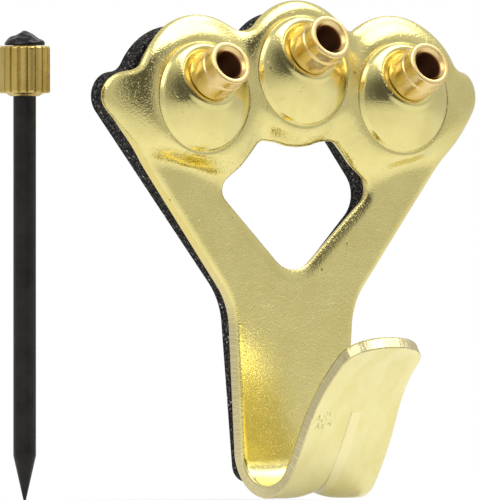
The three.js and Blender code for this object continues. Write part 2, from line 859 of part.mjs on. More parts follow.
const nail = new THREE.Group();
nail.position.set(nailSide, -nailDepth, nailTipHeight);
nail.add(named("nail_pin", nailPin(), blackSteel()));
const collar = named("nail_collar", nailCollar(), collarBrass());
collar.position.z = shankLength + collarSeatClearance;
nail.add(collar);

const part = new THREE.Group();
part.add(hanger, nail);

export default part;
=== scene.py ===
# %% [markdown]
# # A picture hanger and its nail
# The hanger is one blank of steel sheet, plated with pale brass. A press raises three
# domes in it, and a bending tool turns its neck under into a hook. Three turned brass
# tubes guide the nails, and a black foam pad keeps the hanger off the wall. One hardened
# nail with a fluted brass collar stands beside it.
#
# The CAD model is loaded first. It says where everything is and how it moves, and this
# script gives each of its pieces the shape and finish that a close look needs.

# %% Load the frame
import math

import bmesh
import bpy
import numpy as np
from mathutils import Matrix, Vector
from mathutils.geometry import delaunay_2d_cdt


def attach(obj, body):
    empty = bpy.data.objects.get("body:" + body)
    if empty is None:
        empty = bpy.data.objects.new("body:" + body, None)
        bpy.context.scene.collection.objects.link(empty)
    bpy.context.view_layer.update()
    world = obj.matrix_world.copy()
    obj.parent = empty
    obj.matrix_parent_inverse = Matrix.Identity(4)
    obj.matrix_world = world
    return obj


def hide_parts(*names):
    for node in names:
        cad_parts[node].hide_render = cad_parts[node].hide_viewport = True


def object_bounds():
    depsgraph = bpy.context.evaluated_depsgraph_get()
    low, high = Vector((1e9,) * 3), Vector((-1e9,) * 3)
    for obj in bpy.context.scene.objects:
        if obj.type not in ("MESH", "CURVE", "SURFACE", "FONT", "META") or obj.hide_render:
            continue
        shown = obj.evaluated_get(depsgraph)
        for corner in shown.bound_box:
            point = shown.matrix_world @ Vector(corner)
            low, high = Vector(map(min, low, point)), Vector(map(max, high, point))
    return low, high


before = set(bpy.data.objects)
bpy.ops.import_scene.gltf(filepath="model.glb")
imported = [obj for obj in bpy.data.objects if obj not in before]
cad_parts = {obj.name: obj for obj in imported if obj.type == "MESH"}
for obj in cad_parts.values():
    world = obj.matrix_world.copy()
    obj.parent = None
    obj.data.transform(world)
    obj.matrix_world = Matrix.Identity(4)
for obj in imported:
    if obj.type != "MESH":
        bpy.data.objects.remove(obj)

cad_low, cad_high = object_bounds()
mm = 0.001
print("CAD nodes:", ", ".join(sorted(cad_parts)))

# %% [markdown]
# ## Helpers that every piece uses
# A piece is worked out as arrays of points in millimetres and then made a mesh in metres.
# Numpy does that for whole arrays at once, so a hundred thousand points take a moment. One
# curve comes back all the time, a step with soft ends. The outlines are straight lines and
# arcs, as on a drawing, so a corner is given as a place and a radius.

# %% Soft steps and arcs
def soft_step(value):
    """0 below 0, 1 above 1, and three t squared minus two t cubed between."""
    t = np.clip(value, 0, 1)
    return t * t * (3 - 2 * t)


def arc(centre, radius, start, end, step):
    """Centre plus radius times (cosine, sine), from one angle to another, at most one step apart."""
    count = max(2, math.ceil(abs(end - start) * radius / step) + 1)
    angles = np.linspace(start, end, count)
    return np.stack([centre[0] + radius * np.cos(angles), centre[1] + radius * np.sin(angles)], 1)


def circle(centre, radius, count):
    """Points round a circle, anticlockwise."""
    angles = np.arange(count) / count * 2 * math.pi
    return np.stack([centre[0] + radius * np.cos(angles), centre[1] + radius * np.sin(angles)], 1)


print("half of a soft step:", float(soft_step(0.5)))


# %% Lines with rounded corners
def divided(points, step, closed=False):
    """The same line with points added so that no side is longer than the step."""
    ends = np.roll(points, -1, 0) if closed else points[1:]
    rows = []
    for a, b in zip(points, ends):
        parts = max(1, math.ceil(np.hypot(*(b - a)) / step - 1e-6))
        rows.append(a + (b - a) * (np.arange(parts) / parts)[:, None])
    if not closed:
        rows.append(points[-1:])
    return np.concatenate(rows)


def filleted(corners, step, closed):
    """A line through corners (across, up, radius), each turned into an arc that touches both sides.
    The arc's centre lies on the corner's bisector, at the radius over the sine of half the angle."""
    rows = []
    for i, (x, z, radius) in enumerate(corners):
        here = np.array([x, z], float)
        if radius == 0:
            rows.append(here[None])
            continue
        back = np.array(corners[i - 1][:2]) - here
        ahead = np.array(corners[(i + 1) % len(corners)][:2]) - here
        back, ahead = back / np.hypot(*back), ahead / np.hypot(*ahead)
        half = math.acos(np.dot(back, ahead)) / 2
        middle = (back + ahead) / np.hypot(*(back + ahead))
        centre = here + middle * radius / math.sin(half)
        start = here + back * radius / math.tan(half) - centre
        end = here + ahead * radius / math.tan(half) - centre
        first = math.atan2(start[1], start[0])
        turn = (math.atan2(end[1], end[0]) - first + math.pi) % (2 * math.pi) - math.pi
        rows.append(arc(centre, radius, first, first + turn, step))
    return divided(np.concatenate(rows), step, closed)


rounded = filleted([(0, 2, 0), (0, 0, 1), (2, 0, 0)], 0.3, False)
print("a corner of radius 1 between two sides of 2 has", len(rounded), "points")


# %% Inside of a loop, and a loop moved inward
def inside(points, loop):
    """True where a ray from the point crosses the loop an odd number of times."""
    result = np.zeros(len(points), bool)
    x, z = points[:, 0], points[:, 1]
    for (ax, az), (bx, bz) in zip(loop, np.roll(loop, -1, 0)):
        if az != bz:
            result ^= ((az > z) != (bz > z)) & (x < ax + (z - az) * (bx - ax) / (bz - az))
    return result


def within(points, loops, holes):
    """True inside the first loop and outside every hole."""
    keep = inside(points, loops[0])
    for line in holes:
        keep &= ~inside(points, line)
    return keep


def inset(loop, distance):
    """The loop moved towards its left side, square to the line between each point's neighbours."""
    along = np.roll(loop, -1, 0) - np.roll(loop, 1, 0)
    along /= np.hypot(along[:, 0], along[:, 1])[:, None]
    return loop + distance * np.stack([-along[:, 1], along[:, 0]], 1)


print("a circle of radius 3 moved in by 1 has radius", inset(circle((0, 0), 3, 8), 1)[0, 0].round(3))


# %% [markdown]
# ## From arrays to a closed mesh
# Every piece is a set of sheets, each a grid or a field of triangles. Neighbouring sheets
# end on the very same points, so merging the doubles closes the piece. A Weld modifier
# could do that too. Done here, the result can be measured at once: the normals are worked
# out afresh, and the count of open edges shows that nothing gapes.

# %% Faces of a grid
def grid_faces(rows, columns, closed_rows=False, closed_columns=False):
    """Quads between neighbouring rows and columns of a grid of points."""
    row = np.arange(rows if closed_rows else rows - 1)
    column = np.arange(columns if closed_columns else columns - 1)
    r, c = np.meshgrid(row, column, indexing="ij")
    r_next, c_next = (r + 1) % rows, (c + 1) % columns
    corners = [r * columns + c, r * columns + c_next, r_next * columns + c_next, r_next * columns + c]
    return np.stack(corners, -1).reshape(-1, 4)


print("a grid of 3 by 4 points has", len(grid_faces(3, 4)), "faces")

# %% One closed mesh
weld = 0.002 * mm
shortest = 0.0005 * mm


def close_mesh(mesh):
    """Merge doubles, point the normals outward, and give back the volume and the open edges."""
    bm = bmesh.new()
    bm.from_mesh(mesh)
    bmesh.ops.remove_doubles(bm, verts=bm.verts, dist=weld)
    bmesh.ops.dissolve_degenerate(bm, edges=bm.edges, dist=shortest)
    bmesh.ops.recalc_face_normals(bm, faces=bm.faces)
    if bm.calc_volume(signed=True) < 0:
        bmesh.ops.reverse_faces(bm, faces=bm.faces)
    open_edges = sum(not edge.is_manifold for edge in bm.edges)
    volume = bm.calc_volume() / mm**3
    bm.to_mesh(mesh)
    bm.free()
    mesh.shade_smooth()
    return volume, open_edges


def add_values(mesh, key, value):
    """A point attribute: a vector where the value has three columns, else a number."""
    is_vector = value.shape[1] == 3
    layer = mesh.attributes.new(key, "FLOAT_VECTOR" if is_vector else "FLOAT", "POINT")
    layer.data.foreach_set("vector" if is_vector else "value", value.astype(np.float32).ravel())


def make_piece(name, sheets, body, nodes, material):
    """One closed mesh from sheets of (points, faces, attributes), in place of its CAD nodes."""
    points, faces, values, count = [], [], {}, 0
    for sheet_points, sheet_faces, attributes in sheets:
        points.append(sheet_points.reshape(-1, 3))
        faces.extend((sheet_faces + count).tolist())
        for key, value in attributes.items():
            values.setdefault(key, []).append(value.reshape(len(points[-1]), -1))
        count += len(points[-1])
    mesh = bpy.data.meshes.new(name)
    mesh.from_pydata((np.concatenate(points) * mm).tolist(), [], faces)
    for key, parts in values.items():
        add_values(mesh, key, np.concatenate(parts))
    volume, open_edges = close_mesh(mesh)
    mesh.materials.append(material)
    piece = bpy.data.objects.new(name, mesh)
    bpy.context.scene.collection.objects.link(piece)
    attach(piece, body)
    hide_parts(*nodes)
    triangles = sum(len(face.vertices) - 2 for face in mesh.polygons)
    print(f"{name}: {triangles} triangles, {volume:.1f} cubic mm, {open_edges} open edges")
    return piece


# %% [markdown]
# ## The camera
# The photograph looks at the hanger from the left, nearly level and from far away, with a
# long lens. Upright edges stay upright in it, so the camera is tilted by no more than a tenth
# of a degree. The lens follows from the distance and from the height that the picture
# covers, 500 pixels at 12 to the millimetre. A short lens close by would make the near ear
# look too large.

# %% Camera
view_turn = math.radians(-36.5)
view_rise = math.radians(0.1)
view_distance = 1.85
photo_height, pixels_per_mm = 500, 12
view_height = photo_height / pixels_per_mm * mm
aim_right, aim_up = -2.767, 6.72
sensor = 36
towards_camera = Vector((math.sin(view_turn), -math.cos(view_turn), 0))
to_the_right = Vector((math.cos(view_turn), math.sin(view_turn), 0))
aim = to_the_right * aim_right * mm + Vector((0, 0, aim_up * mm))
line_of_sight = towards_camera * math.cos(view_rise) + Vector((0, 0, math.sin(view_rise)))

lens = bpy.data.cameras.new("camera")
lens.sensor_fit = "VERTICAL"
lens.sensor_width = lens.sensor_height = sensor
lens.lens = sensor * view_distance / view_height
lens.clip_start, lens.clip_end = 0.5, 20
camera = bpy.data.objects.new("camera", lens)
camera.location = aim + line_of_sight * view_distance
camera.rotation_mode = "QUATERNION"
camera.rotation_quaternion = (-line_of_sight).to_track_quat("-Z", "Y")
bpy.context.scene.collection.objects.link(camera)
bpy.context.scene.camera = camera
bpy.context.scene.view_settings.view_transform = "Standard"
print("lens", round(lens.lens), "mm")

# %% [markdown]
# ## Writing nodes
# The room, the floor and all the finishes are node trees. A few helpers keep them
# readable: one adds any node, and the others give back the result of the nodes that are
# used most, such as sums and products, a soft range and a mix of two colours. Trees drawn
# by hand in the shader editor look the same but can't be read or changed as text.

# %% Node helpers
column_width, row_height = 200, -220


def add_node(tree, kind, place, settings=None, **inputs):
    """A node at a place in the tree, with its settings, and its inputs' plain values or links. An
    input goes by its name, or by its number after an underscore."""
    node = tree.nodes.new(kind)
    node.location = (place[0] * column_width, place[1] * row_height)
    for key, value in (settings or {}).items():
        setattr(node, key, value)
    for key, value in inputs.items():
        numbered = key[0] == "_" and key[1:].isdigit()
        socket = node.inputs[int(key[1:]) if numbered else key.replace("_", " ")]
        if isinstance(value, bpy.types.NodeSocket):
            tree.links.new(value, socket)
        else:
            socket.default_value = value
    return node


def calc(tree, operation, place, *values):
    """The result of a maths node."""
    return add_node(tree, "ShaderNodeMath", place, {"operation": operation},
                    **{f"_{i}": value for i, value in enumerate(values)}).outputs[0]


def times(tree, place, *values):
    """The product of two values."""
    return calc(tree, "MULTIPLY", place, *values)


def plus(tree, place, *values):
    """The sum of two values."""
    return calc(tree, "ADD", place, *values)


def vector_calc(tree, operation, place, *values):
    """The node of a vector operation."""
    return add_node(tree, "ShaderNodeVectorMath", place, {"operation": operation},
                    **{f"_{i}": value for i, value in enumerate(values)})


def scaled_by(tree, place, vector, factors):
    """The vector with each of its parts times its own factor."""
    return vector_calc(tree, "MULTIPLY", place, vector, factors).outputs[0]


def between(tree, place, value, low, high, out_low=0.0, out_high=1.0):
    """The value moved from one range to another with soft ends."""
    return add_node(tree, "ShaderNodeMapRange", place, {"interpolation_type": "SMOOTHSTEP"}, Value=value,
                    From_Min=low, From_Max=high, To_Min=out_low, To_Max=out_high).outputs["Result"]


def mixed(tree, place, share, first, second):
    """First colour where the share is 0, second where it is 1."""
    first, second = [value if isinstance(value, bpy.types.NodeSocket) else (*value, 1)
                     for value in (first, second)]
    return add_node(tree, "ShaderNodeMix", place, {"data_type": "RGBA"},
                    _0=share, _6=first, _7=second).outputs[2]


def grey(level):
    """A colour with the same level three times."""
    return (level, level, level)


# %% [markdown]
# ## The studio
# What a polished sheet shows is mostly the room. So the room gets the parts of a small
# photo studio: pale walls, a darker patch in front where the camera stands, a bright box
# overhead, a weaker one at the side and white card below. The camera itself sees white.
# A picture of a real room would work as well, but levels and angles can be moved until
# the dark crescents on the domes are where they should be.

# %% The room
wall_levels = [(0.0, 0.80), (0.40, 0.78), (0.46, 0.68), (0.53, 0.64), (0.60, 0.66), (0.75, 0.76),
               (0.86, 0.80), (1.0, 0.80)]
wall_tint = (1, 0.99, 0.97)
patch_turn, patch_rise, patch_level = 0, 13, 0.11
patch_core, patch_edge = math.radians(14), math.radians(31)


def room_direction(turn, rise):
    """Direction in the room, from a turn off the front towards the right and a rise, in degrees."""
    turn, rise = math.radians(turn), math.radians(rise)
    return Vector((math.sin(turn) * math.cos(rise), -math.cos(turn) * math.cos(rise), math.sin(rise)))


room = bpy.data.worlds.new("room")
bpy.context.scene.world = room
room.use_nodes = True
tree = room.node_tree
tree.nodes.clear()
direction = add_node(tree, "ShaderNodeTexCoord", (0, 0)).outputs["Generated"]
up = add_node(tree, "ShaderNodeSeparateXYZ", (1, 0), Vector=direction).outputs["Z"]
height = add_node(tree, "ShaderNodeMapRange", (2, 0), Value=up, From_Min=-1.0, From_Max=1.0)
ramp = add_node(tree, "ShaderNodeValToRGB", (3, 0), Fac=height.outputs["Result"])
stops = ramp.color_ramp.elements
stops[0].position, stops[1].position = wall_levels[0][0], wall_levels[-1][0]
for position, _ in wall_levels[1:-1]:
    stops.new(position)
for stop, (_, level) in zip(stops, wall_levels):
    stop.color = (*[level * tint for tint in wall_tint], 1)
patch_place = tuple(room_direction(patch_turn, patch_rise))
towards_patch = vector_calc(tree, "DOT_PRODUCT", (1, 1), direction, patch_place).outputs["Value"]
in_patch = between(tree, (2, 1), towards_patch, math.cos(patch_edge), math.cos(patch_core))
walls = mixed(tree, (4, 1), in_patch, ramp.outputs["Color"], grey(patch_level))
lit_room = add_node(tree, "ShaderNodeBackground", (5, 0), Color=walls, Strength=1.0)
white = add_node(tree, "ShaderNodeBackground", (5, 1), Color=(1, 1, 1, 1), Strength=1.0)
path = add_node(tree, "ShaderNodeLightPath", (5, -1))
seen = add_node(tree, "ShaderNodeMixShader", (6, 0), _0=path.outputs["Is Camera Ray"],
                _1=lit_room.outputs[0], _2=white.outputs[0])
add_node(tree, "ShaderNodeOutputWorld", (7, 0), Surface=seen.outputs[0])
print("room levels from", wall_levels[0][1], "below to", wall_levels[-1][1], "above")

# %% Lamps
lamp_distance = 220


def soft_box(name, turn, rise, size, level):
    """A lamp that looks at the hanger. Its power is its level times pi times its area."""
    lamp = bpy.data.lights.new(name, "AREA")
    lamp.shape = "RECTANGLE"
    lamp.size, lamp.size_y = size[0] * mm, size[1] * mm
    lamp.energy = level * math.pi * lamp.size * lamp.size_y
    box = bpy.data.objects.new(name, lamp)
    towards = room_direction(turn, rise)
    box.location = aim + towards * lamp_distance * mm
    box.rotation_mode = "QUATERNION"
    box.rotation_quaternion = (-towards).to_track_quat("-Z", "Y")
    bpy.context.scene.collection.objects.link(box)
    print(f"{name}: {lamp.energy:.3f} W")


soft_box("overhead_box", turn=42, rise=58, size=(230, 120), level=2.7)
soft_box("side_box", turn=-80, rise=42, size=(150, 150), level=1.3)

# %% [markdown]
# ## The floor
# The card under the hanger catches its soft shadow and shows as the bright lower half of
# every reflection. A plain white plane would turn grey where the lamps don't reach. So
# close by it is lit card that also glows, and both card and glow are brighter near the
# hanger: a painted pool of light that lifts its shadow and brightens what the metal
# reflects. Further out the camera sees it fade to pure white, as in the photograph, while
# reflections still see card.

# %% Floor
card_from, card_to = 0.02, 0.08
white_from, white_to = 0.012, 0.036
floor_gap, floor_half = 0.0002, 3.0

floor_material = bpy.data.materials.new("white_card")
floor_material.use_nodes = True
tree = floor_material.node_tree
tree.nodes.clear()
ground = add_node(tree, "ShaderNodeTexCoord", (-3, 2)).outputs["Object"]
away = vector_calc(tree, "LENGTH", (-2, 2), ground).outputs["Value"]
distant = between(tree, (-1, 0), away, card_from, card_to)
# Card and glow are both brighter near the hanger: a painted pool of light that lifts its shadow.
card_tone_lit_near = mixed(tree, (-0.5, 0), distant, (0.72, 0.72, 0.71), (0.66, 0.66, 0.65))
glow = mixed(tree, (-0.5, 1), distant, grey(0.30), grey(0.17))
card = add_node(tree, "ShaderNodeBsdfDiffuse", (0, 0), Color=card_tone_lit_near)
lift = add_node(tree, "ShaderNodeEmission", (0, 1), Color=glow, Strength=1.0)
near = add_node(tree, "ShaderNodeAddShader", (1, 0), _0=card.outputs[0], _1=lift.outputs[0])
far = add_node(tree, "ShaderNodeEmission", (1, 1), Color=(1, 1, 1, 1), Strength=1.0)
path = add_node(tree, "ShaderNodeLightPath", (-1, 3))
white_seen = times(tree, (0, 2), between(tree, (-1, 2), away, white_from, white_to),
                   path.outputs["Is Camera Ray"])
both = add_node(tree, "ShaderNodeMixShader", (2, 0), _0=white_seen, _1=near.outputs[0], _2=far.outputs[0])
add_node(tree, "ShaderNodeOutputMaterial", (3, 0), Surface=both.outputs[0])

floor_height = cad_low.z - floor_gap
floor_mesh = bpy.data.meshes.new("floor")
floor_corners = [(-1, -1), (1, -1), (1, 1), (-1, 1)]
floor_mesh.from_pydata([(x * floor_half, y * floor_half, floor_height) for x, y in floor_corners],
                       [], [(0, 1, 2, 3)])
floor_mesh.materials.append(floor_material)
floor = bpy.data.objects.new("floor", floor_mesh)
bpy.context.scene.collection.objects.link(floor)
print("floor at", round(floor_height / mm, 2), "mm")

# %% [markdown]
# ## The pressed sheet
# On the real hanger everything from the lobes to the hook's lip is one blank, cut flat,
# pressed and bent. Modifiers could bend and thicken a flat mesh, but they change its
# thickness where bends and domes meet. The press's own order works better: the blank is
# drawn flat, and one function says where each of its points goes: forward by the depth of
# the mounds and domes above the neck's foot, and round the hook's path below it. Front,
# back and cut edges all use that function, so the sheet is equally thick everywhere.

# %% Sizes of the sheet
sheet = 1.2
face_depth_flat = 3.2
neck_foot, foot_half = -10.3, 5.45
domes = [("left", -10.3, 19.45), ("centre", 0.0, 21.65), ("right", 10.3, 19.45)]
dome_radius, ring_flat = 4.6, 0.2
guide_tilt = math.radians(24)
seat_rise, seat_radius, seat_depth = 1.5, 2.45, 5.3
no_less = 1e-9
print("sheet", sheet, "mm thick, domes", 2 * dome_radius, "mm across")

# %% [markdown]
# ## Mounds and ears
# The punch that raises a dome also draws up the sheet round it. The sheet falls back to
# the flat face over one or two millimetres below a dome, and over more towards the ears
# and the diamond. Each dome keeps a share of the full rise, and the shares are joined so
# that two neighbours never add up to more than the rise. The ears are bent back a little,
# the left one more. Sculpting could give the same slopes, but a formula keeps the side
# domes alike and can be measured anywhere.

# %% Depth of the mounds
mound_rise = 1.22
mound_lean = math.tan(math.radians(3.0))
reach_above, reach_under, reach_to_diamond = 1.35, 0.65, 1.7
reach_between, reach_to_ear = 2.05, 2.4
diamond_from, ear_gain = 0.15, 1.5
ear_start, ear_length = 15.0, 4.0
ear_bend_left, ear_bend_right = 0.9, 0.48
ear_foot, ear_fade = 13, 4


def mound_share(x, z, dome_x, dome_z):
    """1 on a dome and its punch ring, then e to the minus square of the distance over the reach. The
    reach goes from its upright value to its sideways one with the fourth power of the cosine."""
    across, up = x - dome_x, z - dome_z
    distance = np.maximum(np.hypot(across, up), no_less)
    sideways = (across / distance) ** 4
    inward = -across * np.sign(dome_x) / distance
    under = reach_under + reach_to_diamond * soft_step(inward + diamond_from)
    upright = np.where((dome_x != 0) & (up < 0), under, reach_above)
    side = reach_between + reach_to_ear * soft_step(-ear_gain * inward)
    reach = upright + (side - upright) * sideways
    beyond = np.maximum(distance - dome_radius - ring_flat, 0)
    return np.exp(-((beyond / reach) ** 2))


def mound_depth(x, z):
    """The flat face, plus the rise times one minus the product of what the domes leave, less the lean
    and less the square of the way out to the ear, which the press bends back."""
    left_over, lean = np.ones_like(x), np.zeros_like(x)
    for _, dome_x, dome_z in domes:
        share = mound_share(x, z, dome_x, dome_z)
        left_over = left_over * (1 - share)
        lean = lean + share * (z - dome_z) * mound_lean
    to_ear = np.maximum(np.abs(x) - ear_start, 0) / ear_length
    bend = np.where(x < 0, ear_bend_left, ear_bend_right)
    bent = bend * to_ear**2 * soft_step((z - ear_foot) / ear_fade)
    return face_depth_flat + mound_rise * (1 - left_over) - lean - bent


print("depth just above the middle dome:", mound_depth(np.zeros(1), np.full(1, 26.3)).round(2), "mm")

# %% [markdown]
# ## Domes
# A dome rises from a small step at its foot as a cap that steepens outward. On its top a
# round seat is pressed flat and tilted 24 degrees, square to the guide, so that the nail
# goes down into the wall. Between cap and seat the surface blends over a millimetre, and
# a fine crease runs round the foot where the punch stopped. A turned profile can't be
# tilted at the top only, so the dome is a depth for each place.

# %% Domes on the mounds
step_rise, step_width = 0.14, 0.3
cap_rise, cap_power = 1.62, 1.85
seat_flat, blend_under, blend_more, blend_over = 2.05, 0.8, 0.2, 0.9
crease_depth, crease_width = 0.03, 0.05


def face_depth(x, z):
    """The mounds, with a dome on each: a foot step, then the cap's rise times one minus the distance
    over the radius to the cap's power, going over to the seat's tilted plane at the top."""
    ground = mound_depth(x, z)
    depth = ground
    for _, dome_x, dome_z in domes:
        distance = np.hypot(x - dome_x, z - dome_z)
        step = step_rise * soft_step((dome_radius - distance) / step_width)
        cap = cap_rise * (1 - np.minimum(distance / dome_radius, 1) ** cap_power)
        from_seat = z - dome_z - seat_rise
        seat = seat_depth - from_seat * math.tan(guide_tilt) - ground
        seat_up = from_seat / math.cos(guide_tilt)
        seat_distance = np.maximum(np.hypot(x - dome_x, seat_up), no_less)
        blend = blend_under + blend_more * soft_step((seat_up / seat_distance + 1) / blend_over)
        on_seat = 1 - soft_step((seat_distance - seat_flat) / blend)
        raised = step + cap + on_seat * (seat - step - cap)
        crease = crease_depth * np.exp(-(((distance - dome_radius) / crease_width) ** 2))
        depth = np.where(distance < dome_radius, ground + raised, depth) - crease
    return depth


print("depth at the middle of a dome:", face_depth(np.zeros(1), np.full(1, 21.65)).round(2), "mm")


# %% [markdown]
# ## The hook
# Seen from the side the hook is a line of bends: tight round the bottom, then straight,
# then a hollow that flares the lip. Real bends have no sharp change of curvature, because
# the sheet springs. So the heading is averaged over a window, and the path is the running
# sum of its cosine and sine. A drawn curve would need its handles set by eye, while a list
# of lengths and turns is what a bending tool is set to.

# %% Path of the hook
bottom_radius, hollow_radius, lip_radius = 3.0, 8.8, 6.1
bends = [(bottom_radius * math.radians(144), math.radians(144)), (3.5, math.radians(10)), (3.0, 0.0),
         (hollow_radius * math.radians(22.5), math.radians(-21.2)), (2.37, 0.0),
         (lip_radius * math.radians(19.8), math.radians(-16.0))]
bend_ends = np.cumsum([0.0] + [length for length, _ in bends])
bend_turns = np.cumsum([0.0] + [turn for _, turn in bends])
hook_length = sum(length for length, _ in bends)
bottom_run = bottom_radius * math.pi / 2
rise_run, flare_run, flare_end = bend_ends[1], bend_ends[3], bend_ends[4]
window_start, window_opening = rise_run - 1, 5
heading_window, width_window = 2.6, 3.0
path_steps = 1200


def eased(run, at, values, reach):
    """The mean of a line through corner values over a window that opens from nothing to the reach."""
    window = reach * soft_step((run - window_start) / window_opening)
    return np.mean([np.interp(run + window * share, at, values) for share in np.linspace(-1, 1, 25)], 0)


def summed(rate, start):
    """Start plus the running sum of the mean of neighbouring rates times the step."""
    return start + np.concatenate([[0], np.cumsum((rate[1:] + rate[:-1]) / 2 * hook_length / path_steps)])


path_run = np.linspace(0, hook_length, path_steps + 1)
path_heading = eased(path_run, bend_ends, bend_turns, heading_window) - math.pi / 2
path_depth = summed(np.cos(path_heading), face_depth_flat - sheet / 2)
path_height = summed(np.sin(path_heading), neck_foot)
print(f"hook: {hook_length:.2f} mm of sheet, lip at {path_depth[-1]:.2f} mm from the wall")

# %% Widths and hollow of the hook
half_widths = [foot_half, 4.8, 4.5, 4.45, 3.85]
hollow_depth, hollow_length, hollow_width = 0.5, 2.5, 1.3


def hook_path(run):
    """Depth, height and heading of the sheet's middle at each length of run."""
    return [np.interp(run, path_run, line) for line in (path_depth, path_height, path_heading)]


def hook_half_width(run):
    """Narrowing from the neck's foot to the bottom, the rise and the lip, with eased corners."""
    return eased(run, [0, bottom_run, rise_run, flare_run, flare_end], half_widths, width_window)


def groove(x, run):
    """A wide hollow under the bend that makes the hook stiff: its depth times two bell curves."""
    along = np.exp(-(((run - bottom_run) / hollow_length) ** 2))
    return hollow_depth * along * np.exp(-((x / hollow_width) ** 2)) * soft_step(run)


# %% Place of a blank point on the finished sheet
def pressed(x, z, behind):
    """Above the neck's foot (x, depth - behind, z); below it the path's middle plus its normal times
    half the thickness less what lies behind the face."""
    x, z, behind = np.broadcast_arrays(x, z, np.asarray(behind, float))
    run = np.maximum(neck_foot - z, 0)
    depth, height, heading = hook_path(run)
    lift = sheet / 2 - behind + groove(x, run)
    on_hook = z < neck_foot
    out_depth = np.where(on_hook, depth - np.sin(heading) * lift, face_depth(x, z) - behind)
    out_height = np.where(on_hook, height + np.cos(heading) * lift, z)
    return np.stack([x, -out_depth, out_height], -1)


print("neck's foot:", pressed(0.0, neck_foot, 0.0).round(2), "mm")

# %% [markdown]
# ## The blank's outline
# The press tool's cutter follows arcs and straight lines: three lobes over the domes, a
# notch and an ear on each side, a straight arm, a wide fillet into the neck, and the hook
# laid out flat to its rounded lip. A notch is the circle that touches both neighbours, so
# it follows them when they move, which a traced curve wouldn't. The pad's outline uses
# the same function.

# %% Half of an outline
arm_fillet, notch_radius, valley_radius = 6.0, 1.4, 1.5


def touching_centre(a, b, radius):
    """Centre of the circle that touches circles a and b (across, up, radius) on their upper side."""
    reach_a, reach_b = a[2] + radius, b[2] + radius
    dx, dz = b[0] - a[0], b[1] - a[1]
    span = math.hypot(dx, dz)
    along = (reach_a**2 - reach_b**2 + span**2) / (2 * span)
    off = math.sqrt(reach_a**2 - along**2)
    return a[0] + (dx * along - dz * off) / span, a[1] + (dz * along + dx * off) / span


def angle(start, end):
    """Direction from one point to the other."""
    return math.atan2(end[1] - start[1], end[0] - start[0])


def half_outline(neck, foot_corners, arm_angle, ear, side_lobe, middle_lobe, step):
    """Right side from the foot up: neck, fillet, arm, ear, notch, side lobe, valley, middle lobe."""
    arm_top = (ear[0] + ear[2] * math.cos(-arm_angle), ear[1] + ear[2] * math.sin(-arm_angle))
    arm_foot = (neck, arm_top[1] - (arm_top[0] - neck) / math.tan(arm_angle))
    side = filleted([*foot_corners, (*arm_foot, arm_fillet), (*arm_top, 0)], step, False)
    notch = touching_centre(side_lobe, ear, notch_radius)
    valley = touching_centre(middle_lobe, side_lobe, valley_radius)
    ear_end, lobe_start = angle(ear, notch), angle(side_lobe, notch)
    lobe_end, top_start = angle(side_lobe, valley), angle(middle_lobe, valley)
    return np.concatenate([
        side,
        arc(ear[:2], ear[2], -arm_angle, ear_end, step)[1:],
        arc(notch, notch_radius, ear_end + math.pi, lobe_start + math.pi, step)[1:],
        arc(side_lobe[:2], side_lobe[2], lobe_start, lobe_end, step)[1:],
        arc(valley, valley_radius, lobe_end - math.pi, top_start - math.pi, step)[1:],
        arc(middle_lobe[:2], middle_lobe[2], top_start, math.pi / 2, step)[1:],
    ])


def mirrored(line):
    """The other half of a symmetric outline, from its top back down."""
    return (line * (-1, 1))[::-1]


# %% Outline of the sheet
outline_step = 0.26
neck_half, arm_angle = 6.15, math.radians(37.6)
ear = (16.78, 19.5, 2.1)
side_lobe, middle_lobe = (10.0, 19.7, 6.55), (0.0, 21.5, 6.0)
lip_length, lip_power = 2.9, 0.84
left_ear_longer, longer_from, longer_over = 0.45, 15, 3

right_side = half_outline(neck_half, [(foot_half, neck_foot, 0)], arm_angle, ear, side_lobe,
                          middle_lobe, outline_step)
corner_run = hook_length - lip_length
runs = np.linspace(0, corner_run, round(corner_run / outline_step) + 1)[1:]
turn = np.linspace(0, math.pi / 2, 24)[1:]
lip_half = float(hook_half_width(np.array([corner_run]))[0])
lip_across = lip_half * np.maximum(np.cos(turn), 0) ** lip_power
lip_up = neck_foot - corner_run - lip_length * np.sin(turn) ** lip_power
hook_side = np.concatenate([np.stack([hook_half_width(runs), neck_foot - runs], 1),
                            np.stack([lip_across, lip_up], 1)])
hook_side[-1, 0] = 0
outline = np.concatenate([right_side, mirrored(right_side)[1:], hook_side * (-1, 1), hook_side[:-1][::-1]])
outline[:, 0] -= left_ear_longer * soft_step((-outline[:, 0] - longer_from) / longer_over)
print("outline:", len(outline), "points")

# %% The diamond
# The diamond is open at the top against the middle mound, whose arc it follows.
top_half, top_radius, top_middle = 3.8, 6.4, 21.65
top_across = np.array([0.6, 0.3, 0, -0.3, -0.6]) * top_half
top_up = top_middle - np.sqrt(top_radius**2 - top_across**2)
lowest = (0, 4.15, 2.5)
right_corner, left_corner = (8.3, 11.85, 1.2), (-7.97, 11.85, 1.2)
upper_corners = [(5.7, 13.7, 2.5), (3.8, 15.85, 0.9)]
hole = filleted([lowest, right_corner, *upper_corners, *[(x, z, 0) for x, z in zip(top_across, top_up)],
                 *[(-x, z, r) for x, z, r in upper_corners[::-1]], left_corner], outline_step, True)[::-1]
print("diamond:", len(hole), "points")

# %% [markdown]
# ## The flat field and the edges
# The field between the outline, the diamond and the domes has no grid of its own, so it
# is filled with even triangles by a constrained triangulation. The edges are a profile
# carried round each loop. A cut in sheet metal is rolled over in front, straight in the
# middle and has a small burr behind. A Bevel modifier would round all edges evenly, but
# round the diamond the roll is wide and nearly flat, and the cut leans under it.

# %% Triangles between loops
spacing_share, parts_at_once = 0.55, 40


